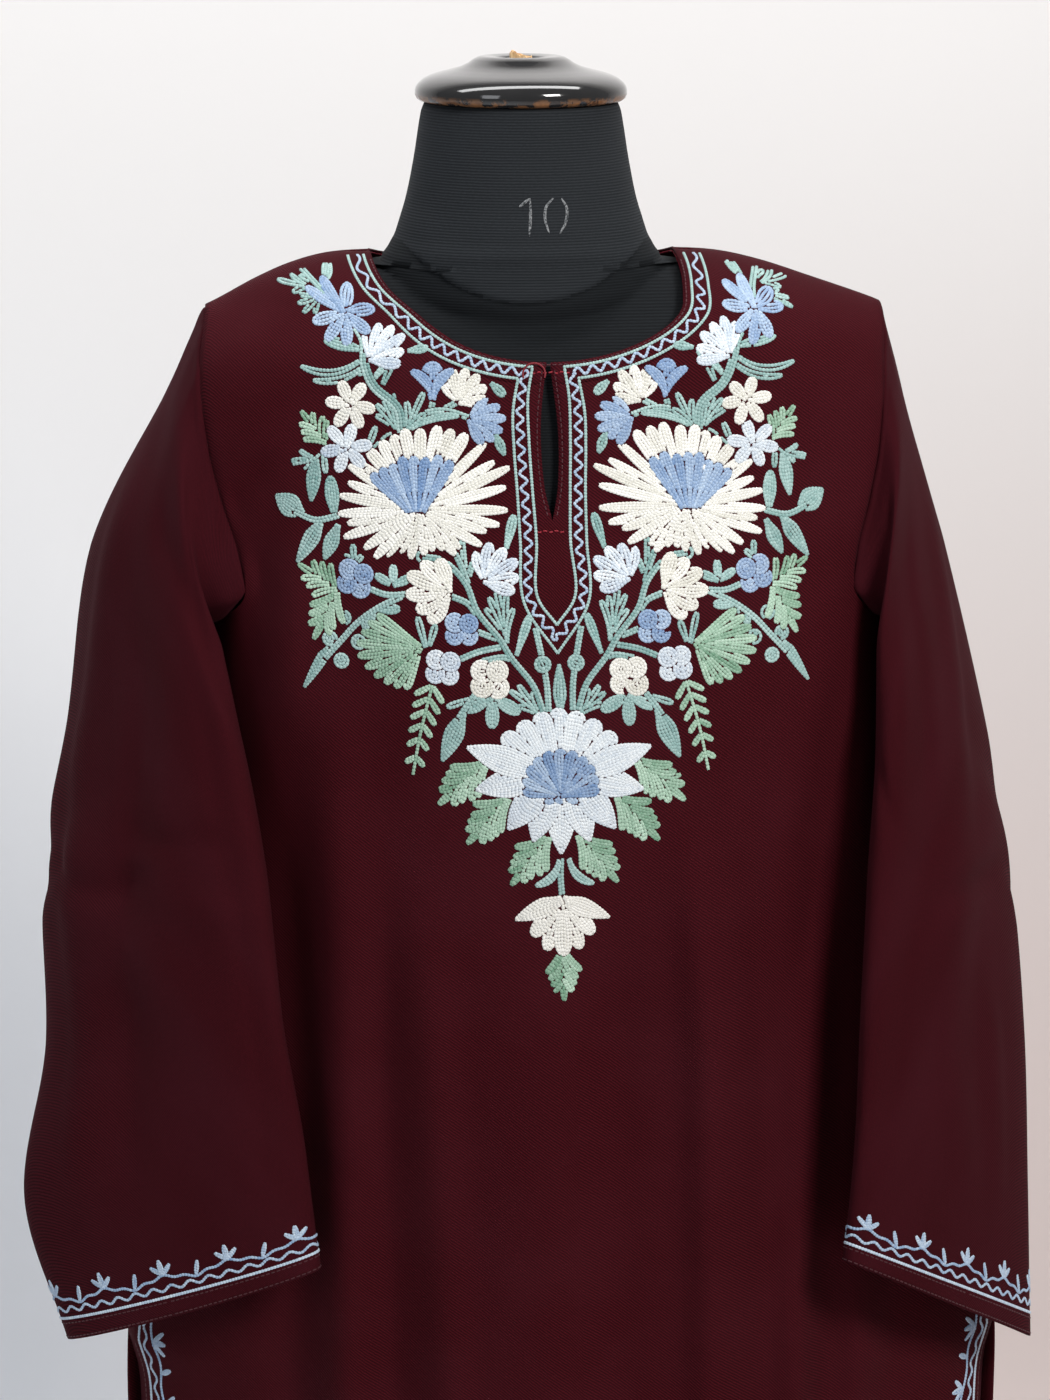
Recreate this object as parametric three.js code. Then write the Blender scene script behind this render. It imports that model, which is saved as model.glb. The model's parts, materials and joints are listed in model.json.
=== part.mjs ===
// A pheran, a loose Kashmiri woollen tunic with a keyhole neckline, side slits and open sleeves, as it
// hangs on a limbless padded dress form on a pole. Millimetres, +Z up, the front faces -Y, and the
// origin is on the floor at the middle of the base. +X is the wearer's left.
import * as THREE from "three";

// Cloth and seams
const CLOTH = 1.5;
const FACING = 1.0;
const SEAM_GAP = 0.3;

// Garment
const NECK_HALF_WIDTH = 87;
const FRONT_NECK_DROP = 54;
const BACK_NECK_DROP = 14;
const FACING_WIDTH = 12;
const SHOULDER_HALF_WIDTH = 194;
const UNDERARM_Z = 1195;
const SIDE_SLIT_Z = 745;
const HEM_Z = 310;
const SLIT_OPEN_AT_HEM = 14;
const KEYHOLE_FOOT_Z = 1261;
const SHOULDER_ROUND = 60;
const NAPE_ROUND = 28;

// Dress form and stand
const NECK_TOP_Z = 1485;
const FORM_FOOT_Z = 724;
const FORM_EASE = 5.5;
const FORM_DROP_NECK = 5.4;
const FORM_DROP_SHOULDER = 3.2;
const CAP_RADIUS = 60.5;
const CAP_HEIGHT = 25.7;
const STUB_WIDTH = 13.2;
const STUB_DEPTH = 9;
const POLE_RADIUS = 16;
const BASE_RADIUS = 210;
const BASE_THICKNESS = 16;
const COLLAR_RADIUS = 30;
const COLLAR_HEIGHT = 44;

// Mesh counts
const HALF_COLUMNS = 15;
const NECK_COLUMNS = 7;
const YOKE_ROWS = 11;
const KEYHOLE_ROWS = 6;
const BODY_ROWS = 9;
const SKIRT_ROWS = 7;
const SLEEVE_ROWS = 18;
const COLUMN_REACH = 62;
const FORM_SIDES = 32;
const TURNED_SIDES = 36;

const FRONT = -1;
const BACK = 1;

// The ridge of the shoulder: its height over the distance from the centre line.
const SHOULDER_LINE = [
  { x: 0, z: 1401 },
  { x: 87, z: 1400.4 },
  { x: 112, z: 1399 },
  { x: 135, z: 1393.5 },
  { x: 158, z: 1385 },
  { x: 194, z: 1370 },
];

// Level sections of the garment: half-width, depth of the panels before and behind the side seams, the
// power of the oval (2 is an ellipse, under 2 a lens), and how far its centre lies to the side.
const BODY = [
  { z: 1402, half: 217, front: 70, back: 84, power: 2.3, centre: 0 },
  { z: 1385, half: 217, front: 72, back: 88, power: 2.3, centre: 6 },
  { z: 1370, half: 217, front: 75, back: 92, power: 2.3, centre: 13 },
  { z: 1343, half: 216, front: 82, back: 98, power: 2.3, centre: 11 },
  { z: 1294, half: 214, front: 93, back: 104, power: 2.3, centre: 11.5 },
  { z: 1255, half: 206, front: 104, back: 107, power: 2.3, centre: 12.5 },
  { z: 1225, half: 197, front: 114, back: 107, power: 2.3, centre: 13.5 },
  { z: 1195, half: 196, front: 121, back: 106, power: 2.3, centre: 14 },
  { z: 1150, half: 199, front: 127, back: 104, power: 2.2, centre: 15 },
  { z: 1100, half: 203, front: 129, back: 103, power: 2.05, centre: 16 },
  { z: 1000, half: 220, front: 128, back: 105, power: 1.75, centre: 19 },
  { z: 900, half: 240, front: 126, back: 112, power: 1.6, centre: 22 },
  { z: 800, half: 257, front: 124, back: 118, power: 1.53, centre: 25 },
  { z: 745, half: 265, front: 123, back: 119, power: 1.5, centre: 26 },
  { z: 690, half: 267, front: 123, back: 120, power: 1.5, centre: 26 },
  { z: 600, half: 266, front: 124, back: 121, power: 1.5, centre: 27 },
  { z: 310, half: 258, front: 129, back: 126, power: 1.5, centre: 28 },
];

// How far the open edges of the panels draw in towards the centre below the side slits.
const SLIT_EDGES = [
  { z: SIDE_SLIT_Z, front: 0, back: 0 },
  { z: 722, front: 7.5, back: 0.5 },
  { z: 690, front: 9.5, back: 1 },
  { z: 600, front: 14, back: 2 },
  { z: HEM_Z, front: 22, back: 5 },
];

// The armhole edge of each panel, from the shoulder to the underarm: distance from the centre line.
const ARMHOLE = [
  { z: 1370, x: 194 },
  { z: 1340, x: 194.5 },
  { z: 1311, x: 193 },
  { z: 1288, x: 190 },
  { z: 1263, x: 184 },
  { z: 1240, x: 177 },
  { z: 1222, x: 173 },
  { z: 1210, x: 175 },
  { z: 1200, x: 184 },
  { z: 1195, x: 196 },
];

// Half the width of the keyhole slit at the centre front.
const KEYHOLE = [
  { z: 1346, gap: 1.2 },
  { z: 1311, gap: 4.8 },
  { z: 1280, gap: 3.8 },
  { z: 1261, gap: 0 },
];

// Vertical folds of the panels. start and full are the heights where a fold begins and has its whole
// depth, top and foot its place across the panel there and at the hem (0 at the centre, 1 at the side
// seam), width its half-width, and rise its height, below nothing for a trough.
const FRONT_FOLDS = [
  { start: 1180, full: 1020, top: -0.76, foot: -0.61, width: 20, rise: -8 },
  { start: 1150, full: 980, top: -0.56, foot: -0.48, width: 26, rise: 6 },
  { start: 1090, full: 900, top: -0.38, foot: -0.33, width: 30, rise: -5 },
  { start: 1040, full: 850, top: -0.12, foot: -0.09, width: 66, rise: 4 },
  { start: 1080, full: 880, top: 0.22, foot: 0.2, width: 46, rise: -6 },
  { start: 1130, full: 940, top: 0.46, foot: 0.42, width: 30, rise: 7 },
  { start: 1160, full: 1040, top: 0.8, foot: 0.55, width: 15, rise: -6 },
  { start: 1100, full: 900, top: 0.76, foot: 0.64, width: 18, rise: 4 },
  { start: 1180, full: 1010, top: 0.9, foot: 0.74, width: 18, rise: -7 },
];
const BACK_FOLDS = [
  { start: 1150, full: 960, top: -0.72, foot: -0.62, width: 24, rise: -7 },
  { start: 1180, full: 940, top: -0.5, foot: -0.46, width: 30, rise: 6 },
  { start: 1120, full: 900, top: -0.2, foot: -0.22, width: 34, rise: -6 },
  { start: 1200, full: 930, top: 0.02, foot: 0.04, width: 44, rise: 5 },
  { start: 1120, full: 880, top: 0.28, foot: 0.3, width: 32, rise: -6 },
  { start: 1160, full: 950, top: 0.56, foot: 0.5, width: 26, rise: 6 },
  { start: 1150, full: 980, top: 0.74, foot: 0.66, width: 22, rise: -7 },
];

// Rings of each sleeve from armhole to cuff: the middle, the half-axis that starts towards the shoulder
// and turns outwards (up), and the half-axis to the front edge (fore), each as x, y, z.
const LEFT_SLEEVE = [
  { middle: [205, 0, 1282.5], up: [2, 0, 87.5], fore: [0, -60, 0] },
  { middle: [218, -3, 1250], up: [3, 0, 68], fore: [-10, -67, 0] },
  { middle: [228, -11, 1196], up: [8, -2, 45], fore: [-28, -76, 5] },
  { middle: [238, -28, 1120], up: [16, -8, 20], fore: [-37, -76, 12] },
  { middle: [244, -45, 1040], up: [18, -12, 10], fore: [-48, -71, 18] },
  { middle: [246, -60, 954], up: [16, -14, 5], fore: [-55, -65, 26] },
  { middle: [246, -70, 869], up: [14, -15, 2], fore: [-58, -58, 35] },
  { middle: [244, -78, 786], up: [12, -16, 0], fore: [-62, -50, 44] },
];
const RIGHT_SLEEVE = [
  { middle: [-177, 0, 1282.5], up: [-2, 0, 87.5], fore: [0, -60, 0] },
  { middle: [-198, -3, 1250], up: [-5, 0, 70], fore: [9, -67, 0] },
  { middle: [-212, -12, 1197], up: [-22, -3, 47], fore: [32, -72, 6] },
  { middle: [-213, -34, 1120], up: [-23, -11, 20], fore: [48, -72, 12] },
  { middle: [-216, -53, 1046], up: [-22, -17, 10], fore: [63, -66, 16] },
  { middle: [-212, -68, 956], up: [-17, -19, 5], fore: [68, -54, 22] },
  { middle: [-213, -78, 872], up: [-13, -20, 2], fore: [82, -44, 29] },
  { middle: [-197, -84, 795], up: [-9, -19, 0], fore: [74, -34, 33] },
];

// Soft creases of a sleeve: along is the way down it (0 armhole, 1 cuff), turn the angle round it from
// the outer face over the front, slant how far the crease climbs round per unit of turn.
const LEFT_CREASES = [
  { along: 0.3, turn: 0.9, slant: 0.1, length: 0.9, width: 0.05, rise: -4 },
  { along: 0.5, turn: 5.4, slant: -0.06, length: 0.8, width: 0.035, rise: -5 },
  { along: 0.62, turn: 0.3, slant: 0.12, length: 0.8, width: 0.04, rise: 3.5 },
];
const RIGHT_CREASES = [
  { along: 0.26, turn: 0.9, slant: 0.12, length: 0.9, width: 0.05, rise: -4 },
  { along: 0.55, turn: 5.2, slant: -0.05, length: 0.8, width: 0.03, rise: -6 },
  { along: 0.66, turn: 0.2, slant: 0.1, length: 0.9, width: 0.045, rise: 3.5 },
];

// Sections of the padded form below the shoulders.
const TORSO = [
  { z: 1376, half: 172, front: 90, back: 100, power: 3.5 },
  { z: 1340, half: 173, front: 90, back: 104, power: 3.5 },
  { z: 1300, half: 170, front: 94, back: 106, power: 3.4 },
  { z: 1250, half: 160, front: 102, back: 104, power: 3.2 },
  { z: 1215, half: 152, front: 108, back: 98, power: 3.0 },
  { z: 1195, half: 150, front: 111, back: 94, power: 2.8 },
  { z: 1150, half: 144, front: 116, back: 90, power: 2.4 },
  { z: 1115, half: 138, front: 111, back: 86, power: 2.3 },
  { z: 1040, half: 122, front: 92, back: 80, power: 2.2 },
  { z: 960, half: 134, front: 92, back: 84, power: 2.2 },
  { z: 880, half: 146, front: 94, back: 88, power: 2.1 },
  { z: 830, half: 150, front: 95, back: 90, power: 2.1 },
  { z: 765, half: 148, front: 93, back: 88, power: 2.1 },
  { z: 738, half: 143, front: 89, back: 84, power: 2.1 },
  { z: 727, half: 134, front: 81, back: 76, power: 2.1 },
  { z: FORM_FOOT_Z, half: 124, front: 71, back: 66, power: 2.1 },
];

// Sections of the form's neck.
const NECK = [
  { z: NECK_TOP_Z, half: 55, front: 54, back: 54 },
  { z: 1480, half: 57, front: 56, back: 56 },
  { z: 1450, half: 62, front: 60, back: 60 },
  { z: 1421, half: 68.5, front: 64, back: 64 },
  { z: 1404, half: 76, front: 67, back: 67 },
  { z: 1398, half: 80, front: 66, back: 67.5 },
  { z: 1390, half: 82, front: 66.5, back: 67 },
  { z: 1378, half: 82, front: 67, back: 62 },
  { z: 1366, half: 77, front: 62, back: 50 },
  { z: 1350, half: 60, front: 50, back: 30 },
];
const NECK_RINGS = [1399, 1404, 1412, 1421, 1436, 1450, 1466, 1480, NECK_TOP_Z];
const SHOULDER_RINGS = [1345, 1356, 1366, 1373, 1379, 1384, 1388, 1391, 1393, 1394.2, 1395.2];
const TORSO_RINGS = [
  FORM_FOOT_Z,
  727,
  738,
  765,
  830,
  880,
  920,
  960,
  1000,
  1040,
  1080,
  1115,
  1150,
  1180,
  1205,
  1230,
  1260,
  1290,
  1320,
];

const wool = new THREE.MeshStandardMaterial({ color: 0x4a1a26, roughness: 0.9, metalness: 0 });
const turnedWool = new THREE.MeshStandardMaterial({ color: 0x6a1626, roughness: 0.9, metalness: 0 });
const jersey = new THREE.MeshStandardMaterial({ color: 0x2c3033, roughness: 0.85, metalness: 0 });
const lacquer = new THREE.MeshStandardMaterial({ color: 0x15161a, roughness: 0.15, metalness: 0 });
const rawWood = new THREE.MeshStandardMaterial({ color: 0xd9b98a, roughness: 0.8, metalness: 0 });
const steel = new THREE.MeshStandardMaterial({ color: 0xa9acb0, roughness: 0.35, metalness: 1 });
const enamel = new THREE.MeshStandardMaterial({ color: 0x1c1d20, roughness: 0.45, metalness: 0.2 });

const mix = (a, b, share) => a + (b - a) * share;

function smoothStep(from, to, value) {
  const share = Math.min(Math.max((value - from) / (to - from), 0), 1);
  return share * share * (3 - 2 * share);
}

// Reads a column of a table at a value of its key, along a smooth curve through the rows.
function reader(table, key) {
  const rows = [...table].sort((a, b) => a[key] - b[key]);
  const last = rows.length - 1;
  const slope = (i, column) => {
    const before = rows[Math.max(i - 1, 0)];
    const after = rows[Math.min(i + 1, last)];
    return (after[column] - before[column]) / (after[key] - before[key]);
  };
  return (value, column) => {
    if (value <= rows[0][key]) return rows[0][column];
    if (value >= rows[last][key]) return rows[last][column];
    const i = rows.findIndex((row) => row[key] > value) - 1;
    const span = rows[i + 1][key] - rows[i][key];
    const t = (value - rows[i][key]) / span;
    const rise = rows[i + 1][column] - rows[i][column];
    const bend = t * (1 - t);
    return (
      rows[i][column] +
      rise * t * t * (3 - 2 * t) +
      span * bend * (slope(i, column) * (1 - t) - slope(i + 1, column) * t)
    );
  };
}

const shoulderLine = reader(SHOULDER_LINE, "x");
const body = reader(BODY, "z");
const slitEdges = reader(SLIT_EDGES, "z");
const keyhole = reader(KEYHOLE, "z");
const torso = reader(TORSO, "z");
const neck = reader(NECK, "z");

// ---- the garment's surface ----

const halfWidth = (side, z) => body(z, "half") - slitEdges(z, side === FRONT ? "front" : "back");

function foldRise(side, across, z) {
  const half = halfWidth(side, z);
  let rise = 0;
  for (const fold of side === FRONT ? FRONT_FOLDS : BACK_FOLDS) {
    const grown = smoothStep(fold.start, fold.full, z);
    const place = mix(fold.top, fold.foot, smoothStep(fold.start, fold.full - 150, z));
    const distance = ((across - place) * half) / fold.width;
    rise += fold.rise * grown * Math.exp(-distance * distance);
  }
  return rise * (1 - Math.pow(Math.min(Math.abs(across), 1), 6));
}

// How the ridge of the shoulder rounds over: 0 on the ridge, 1 from `round` below it.
function ridgeShare(below, round) {
  const up = 1 - Math.min(Math.max(below, 0), round) / round;
  return Math.sqrt(1 - up * up);
}

function ovalShare(across, power) {
  return Math.pow(Math.max(1 - Math.pow(Math.min(Math.abs(across), 1), power), 0), 1 / power);
}

function ridgeRound(side, x) {
  return side === FRONT
    ? SHOULDER_ROUND
    : mix(NAPE_ROUND, SHOULDER_ROUND, smoothStep(50, 120, Math.abs(x)));
}

// How far the side slits stand open, front to back.
function slitOpening(z) {
  const down = Math.max((SIDE_SLIT_Z - z) / (SIDE_SLIT_Z - HEM_Z), 0);
  return SLIT_OPEN_AT_HEM * down ** 0.8;
}

// Depth of a panel at a distance x from the centre line and a height z.
function clothDepth(side, x, z) {
  const across = x / halfWidth(side, z);
  const depth = body(z, side === FRONT ? "front" : "back");
  const below = shoulderLine(Math.abs(x), "z") - z;
  const round = ridgeShare(below, ridgeRound(side, x));
  const full = depth * ovalShare(across, body(z, "power")) * round;
  return full + slitOpening(z) / 2 + foldRise(side, across, z);
}

function clothPoint(side, x, z) {
  return new THREE.Vector3(x + body(z, "centre"), side * clothDepth(side, x, z), z);
}

// The edge of both panels from the shoulder to the underarm, in even steps: x and z of each row.
function armholeRows() {
  const steps = 20 * (ARMHOLE.length - 1);
  const dense = [];
  const route = new THREE.SplineCurve(ARMHOLE.map((row) => new THREE.Vector2(row.x, row.z)));
  for (let i = 0; i <= steps; i++) {
    const at = route.getPoint(i / steps);
    const point = clothPoint(FRONT, at.x, at.y);
    const length = i ? dense[i - 1].length + point.distanceTo(dense[i - 1].point) : 0;
    dense.push({ x: at.x, z: at.y, point, length });
  }
  dense[steps].x = ARMHOLE[ARMHOLE.length - 1].x;
  const total = dense[steps].length;
  return (share) => {
    const wanted = share * total;
    const next = Math.max(dense.findIndex((row) => row.length >= wanted - 1e-9), 1);
    const t = (wanted - dense[next - 1].length) / (dense[next].length - dense[next - 1].length);
    return { x: mix(dense[next - 1].x, dense[next].x, t), z: mix(dense[next - 1].z, dense[next].z, t) };
  };
}
const armhole = armholeRows();

// Distance of the armhole from the centre line at a height.
function armholeEdge(z) {
  let low = 0;
  let high = 1;
  for (let i = 0; i < 24; i++) {
    const middle = (low + high) / 2;
    if (armhole(middle).z > z) low = middle;
    else high = middle;
  }
  return armhole(low).x;
}

function necklineHeight(side, x) {
  const drop = side === FRONT ? FRONT_NECK_DROP : BACK_NECK_DROP;
  const share = Math.min(Math.abs(x) / NECK_HALF_WIDTH, 1);
  return shoulderLine(Math.abs(x), "z") - drop * Math.sqrt(1 - share * share);
}

// Places of the columns along the top edge: even steps round the neckline, then along the shoulder.
function topPlaces(side) {
  const steps = 400;
  const dense = [];
  for (let i = 0; i <= steps; i++) {
    const x = NECK_HALF_WIDTH * Math.sin((Math.PI / 2) * (i / steps));
    const point = clothPoint(side, x, necklineHeight(side, x));
    const length = i ? dense[i - 1].length + point.distanceTo(dense[i - 1].point) : 0;
    dense.push({ x, point, length });
  }
  const places = [];
  for (let i = 0; i < NECK_COLUMNS; i++) {
    const wanted = (i / NECK_COLUMNS) * dense[steps].length;
    places.push(dense.find((step) => step.length >= wanted).x);
  }
  places.push(NECK_HALF_WIDTH);
  const left = HALF_COLUMNS - NECK_COLUMNS;
  for (let i = 1; i <= left; i++) {
    places.push(mix(NECK_HALF_WIDTH + FACING_WIDTH, SHOULDER_HALF_WIDTH, i / left));
  }
  return places;
}
const TOP_PLACES = { [FRONT]: topPlaces(FRONT), [BACK]: topPlaces(BACK) };

// A point on the line where the yoke's columns start: the facing's edge, then the shoulder seam.
function startPoint(side, column) {
  const top = TOP_PLACES[side][column];
  if (column > NECK_COLUMNS) return { x: top, z: shoulderLine(top, "z") };
  const place = top / NECK_HALF_WIDTH;
  const drop = (side === FRONT ? FRONT_NECK_DROP : BACK_NECK_DROP) + FACING_WIDTH;
  const x = (NECK_HALF_WIDTH + FACING_WIDTH) * place;
  return { x, z: shoulderLine(x, "z") - drop * Math.sqrt(1 - place * place) };
}

// How far a column leans outwards where it starts: most at the corner of neck and shoulder.
function columnLean(column) {
  const outer = (HALF_COLUMNS - column) / (HALF_COLUMNS - NECK_COLUMNS);
  return (Math.PI / 4) * Math.min(column / NECK_COLUMNS, outer);
}

// x and z along a yoke column, from its start (share 0) to the level of the underarm (share 1).
function yokePlace(side, column, share) {
  const start = startPoint(side, column);
  const lean = columnLean(column);
  const reach = COLUMN_REACH * (side === BACK ? 1 : 0.8);
  const turn = { x: start.x + reach * Math.sin(lean), z: start.z - reach * Math.cos(lean) };
  const foot = (column / HALF_COLUMNS) * SHOULDER_HALF_WIDTH;
  const along = (name, end) =>
    start[name] * (1 - share) ** 2 + 2 * turn[name] * share * (1 - share) + end * share ** 2;
  const z = along("z", UNDERARM_Z);
  return { x: (along("x", foot) / SHOULDER_HALF_WIDTH) * armholeEdge(z), z };
}

// Rows of one yoke column at even distances along the cloth, after the neckline where it has one.
function yokeColumn(side, column) {
  const top = TOP_PLACES[side][column];
  const rows = [column <= NECK_COLUMNS ? { x: top, z: necklineHeight(side, top) } : null];
  if (column === HALF_COLUMNS) {
    for (let row = 1; row <= YOKE_ROWS; row++) rows.push(armhole((row - 1) / (YOKE_ROWS - 1)));
    return rows;
  }
  const steps = 200;
  const dense = [];
  for (let i = 0; i <= steps; i++) {
    const share = (i / steps) ** 2;
    const place = yokePlace(side, column, share);
    const point = clothPoint(side, place.x, place.z);
    const length = i ? dense[i - 1].length + point.distanceTo(dense[i - 1].point) : 0;
    dense.push({ share, point, length });
  }
  for (let row = 1; row <= YOKE_ROWS; row++) {
    const wanted = ((row - 1) / (YOKE_ROWS - 1)) * dense[steps].length;
    const next = Math.max(dense.findIndex((step) => step.length >= wanted - 1e-9), 1);
    const t = (wanted - dense[next - 1].length) / (dense[next].length - dense[next - 1].length);
    rows.push(yokePlace(side, column, mix(dense[next - 1].share, dense[next].share, t)));
  }
  if (side === FRONT && column === 0) {
    for (let row = 2; row < YOKE_ROWS; row++) {
      rows[row].z =
        row <= KEYHOLE_ROWS
          ? mix(rows[1].z, KEYHOLE_FOOT_Z, (row - 1) / (KEYHOLE_ROWS - 1))
          : mix(KEYHOLE_FOOT_Z, UNDERARM_Z, (row - KEYHOLE_ROWS) / (YOKE_ROWS - KEYHOLE_ROWS));
    }
  }
  return rows;
}

// Heights of the rows below the underarm; one row lies at the top of the side slits.
function skirtHeights() {
  const heights = [];
  for (let i = 1; i <= BODY_ROWS; i++) heights.push(mix(UNDERARM_Z, SIDE_SLIT_Z, i / BODY_ROWS));
  for (let i = 1; i <= SKIRT_ROWS; i++) heights.push(mix(SIDE_SLIT_Z, HEM_Z, (i / SKIRT_ROWS) ** 1.4));
  return heights;
}

// A half panel as a grid of points, [column][row], on the +X side (mirror 1) or the -X side (mirror -1).
function halfPanel(side, mirror) {
  const grid = [];
  for (let column = 0; column <= HALF_COLUMNS; column++) {
    const rows = yokeColumn(side, column).map((place, row) => {
      if (!place) return null;
      const split = side === FRONT && column === 0 && row < KEYHOLE_ROWS;
      return clothPoint(side, mirror * (split ? keyhole(place.z, "gap") : place.x), place.z);
    });
    for (const z of skirtHeights()) {
      rows.push(clothPoint(side, (mirror * column * halfWidth(side, z)) / HALF_COLUMNS, z));
    }
    grid.push(rows);
  }
  // The seams' ends lie exactly on the side plane.
  const seam = [grid[NECK_COLUMNS][0], ...grid.slice(NECK_COLUMNS).map((rows) => rows[1])];
  for (const point of [...seam, ...grid[HALF_COLUMNS].slice(1)]) {
    if (Math.abs(point.y) < 1e-3) point.y = 0;
  }
  return grid;
}

// ---- walls of cloth ----

const keyOf = (point) => point.toArray().map((value) => Math.round(value * 1e4)).join(",");
const edgeKey = (a, b) => [keyOf(a), keyOf(b)].sort().join("|");

// Adds the two triangles of a four-cornered patch, split along its shorter diagonal.
function addPatch(faces, a, b, c, d, turned) {
  const direct = a.distanceTo(c) <= b.distanceTo(d);
  for (const face of direct ? [[a, b, c], [a, c, d]] : [[a, b, d], [b, c, d]]) {
    const distinct = new Set(face.map(keyOf)).size === 3;
    if (distinct) faces.push(turned ? [face[2], face[1], face[0]] : face);
  }
}

function panelFaces(side) {
  const faces = [];
  for (const mirror of [1, -1]) {
    const grid = halfPanel(side, mirror);
    for (let i = 0; i < HALF_COLUMNS; i++) {
      for (let j = i < NECK_COLUMNS ? 0 : 1; j < grid[i].length - 1; j++) {
        const turned = side * mirror > 0;
        addPatch(faces, grid[i][j + 1], grid[i + 1][j + 1], grid[i + 1][j], grid[i][j], turned);
      }
    }
  }
  return faces;
}

function creaseRise(creases, along, turn) {
  let rise = 0;
  for (const crease of creases) {
    const round = Math.atan2(Math.sin(turn - crease.turn), Math.cos(turn - crease.turn));
    const across = (along - crease.along - crease.slant * round) / crease.width;
    rise += crease.rise * Math.exp(-across * across - (round / crease.length) ** 2);
  }
  return rise;
}

// One sleeve: rings lofted from the armhole of the two panels to the cuff.
function sleeveFaces(table, creases, mirror) {
  const front = halfPanel(FRONT, mirror)[HALF_COLUMNS].slice(1, YOKE_ROWS + 1);
  const back = halfPanel(BACK, mirror)[HALF_COLUMNS].slice(2, YOKE_ROWS).reverse();
  const loop = [...front, ...back];
  const curve = (name) =>
    new THREE.CatmullRomCurve3(table.map((row) => new THREE.Vector3(...row[name])), false, "centripetal");
  const [middle, up, fore] = ["middle", "up", "fore"].map(curve);
  const ring = (along) => {
    const t = Math.min(along, 1);
    const at = [middle, up, fore].map((line) => line.getPoint(t));
    return loop.map((_, i) => {
      const turn = (2 * Math.PI * i) / loop.length;
      const out = at[1].clone().multiplyScalar(Math.cos(turn)).addScaledVector(at[2], Math.sin(turn));
      const rise = creaseRise(creases, along, turn) * smoothStep(0, 0.15, along);
      return at[0].clone().add(out).addScaledVector(out.clone().normalize(), rise);
    });
  };
  const start = ring(0);
  const rings = [loop];
  for (let k = 1; k <= SLEEVE_ROWS; k++) {
    const along = k / SLEEVE_ROWS;
    const held = 1 - smoothStep(0, 0.2, along);
    rings.push(
      ring(along).map((point, i) => point.addScaledVector(loop[i].clone().sub(start[i]), held)),
    );
  }
  const faces = [];
  for (let k = 0; k < SLEEVE_ROWS; k++) {
    for (let i = 0; i < loop.length; i++) {
      const next = (i + 1) % loop.length;
      addPatch(faces, rings[k][i], rings[k][next], rings[k + 1][next], rings[k + 1][i], mirror < 0);
    }
  }
  return faces;
}

// The facing: the panels' own patches between the neckline and the facing's edge.
function facingFaces() {
  const faces = [];
  for (const side of [FRONT, BACK]) {
    for (const mirror of [1, -1]) {
      const grid = halfPanel(side, mirror);
      const turned = side * mirror > 0;
      for (let i = 0; i < NECK_COLUMNS; i++) {
        addPatch(faces, grid[i][1], grid[i + 1][1], grid[i + 1][0], grid[i][0], turned);
      }
    }
  }
  return faces;
}

// Area-weighted normals over all the cloth as one surface, so that walls meet squarely at the seams.
function surfaceNormals(faces) {
  const normals = new Map();
  for (const [a, b, c] of faces) {
    const normal = b.clone().sub(a).cross(c.clone().sub(a));
    for (const point of [a, b, c]) {
      const key = keyOf(point);
      if (!normals.has(key)) normals.set(key, new THREE.Vector3());
      normals.get(key).add(normal);
    }
  }
  for (const normal of normals.values()) normal.normalize();
  return normals;
}

// Edges that belong to one face of a piece, with the face's third corner.
function openEdges(faces) {
  const edges = new Map();
  for (const face of faces) {
    for (let i = 0; i < 3; i++) {
      const edge = [face[i], face[(i + 1) % 3], face[(i + 2) % 3]];
      const key = edgeKey(edge[0], edge[1]);
      edges.set(key, edges.has(key) ? null : edge);
    }
  }
  return new Map([...edges].filter(([, edge]) => edge));
}

// How far each point at a seam draws back into its piece, half the seam's gap.
function seamShifts(edges, seams) {
  const shifts = new Map();
  for (const [key, [a, b, c]] of edges) {
    if (!seams.has(key)) continue;
    const along = b.clone().sub(a).normalize();
    const inward = c.clone().sub(a);
    inward.addScaledVector(along, -inward.dot(along)).normalize();
    for (const point of [a, b]) {
      const shift = shifts.get(keyOf(point)) || new THREE.Vector3();
      shifts.set(keyOf(point), shift.add(inward));
    }
  }
  for (const shift of shifts.values()) shift.setLength(SEAM_GAP / 2);
  return shifts;
}

// A closed wall from a piece's faces, between two distances from the surface (outwards positive).
function wall(faces, normals, outer, inner, seams) {
  const edges = openEdges(faces);
  const shifts = seamShifts(edges, seams);
  const place = (point, distance) => {
    const key = keyOf(point);
    const moved = point.clone().addScaledVector(normals.get(key), distance);
    return shifts.has(key) ? moved.add(shifts.get(key)) : moved;
  };
  const corners = [];
  const add = (...points) => points.forEach((point) => corners.push(...point.toArray()));
  for (const [a, b, c] of faces) {
    add(place(a, outer), place(b, outer), place(c, outer));
    add(place(c, inner), place(b, inner), place(a, inner));
  }
  // Both pieces at a seam split their rims along the same diagonal.
  for (const [a, b] of edges.values()) {
    const [aOut, aIn, bOut, bIn] = [place(a, outer), place(a, inner), place(b, outer), place(b, inner)];
    if (keyOf(a) < keyOf(b)) add(bOut, aOut, aIn, bOut, aIn, bIn);
    else add(bOut, aOut, bIn, aOut, aIn, bIn);
  }
  const geometry = new THREE.BufferGeometry();
  geometry.setAttribute("position", new THREE.Float32BufferAttribute(corners, 3));
  geometry.computeVertexNormals();
  return geometry;
}

// ---- the form, its cap and its stand ----

const formDrop = (x) => mix(FORM_DROP_NECK, FORM_DROP_SHOULDER, smoothStep(112, 160, x));

// The form is even about its axis, so it keeps clear of the cloth on the side the cloth hangs over less.
const formPlace = (x, z) => Math.abs(x) + body(z, "centre");
const formRidge = (x, z) => shoulderLine(formPlace(x, z), "z") - formDrop(formPlace(x, z));

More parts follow.
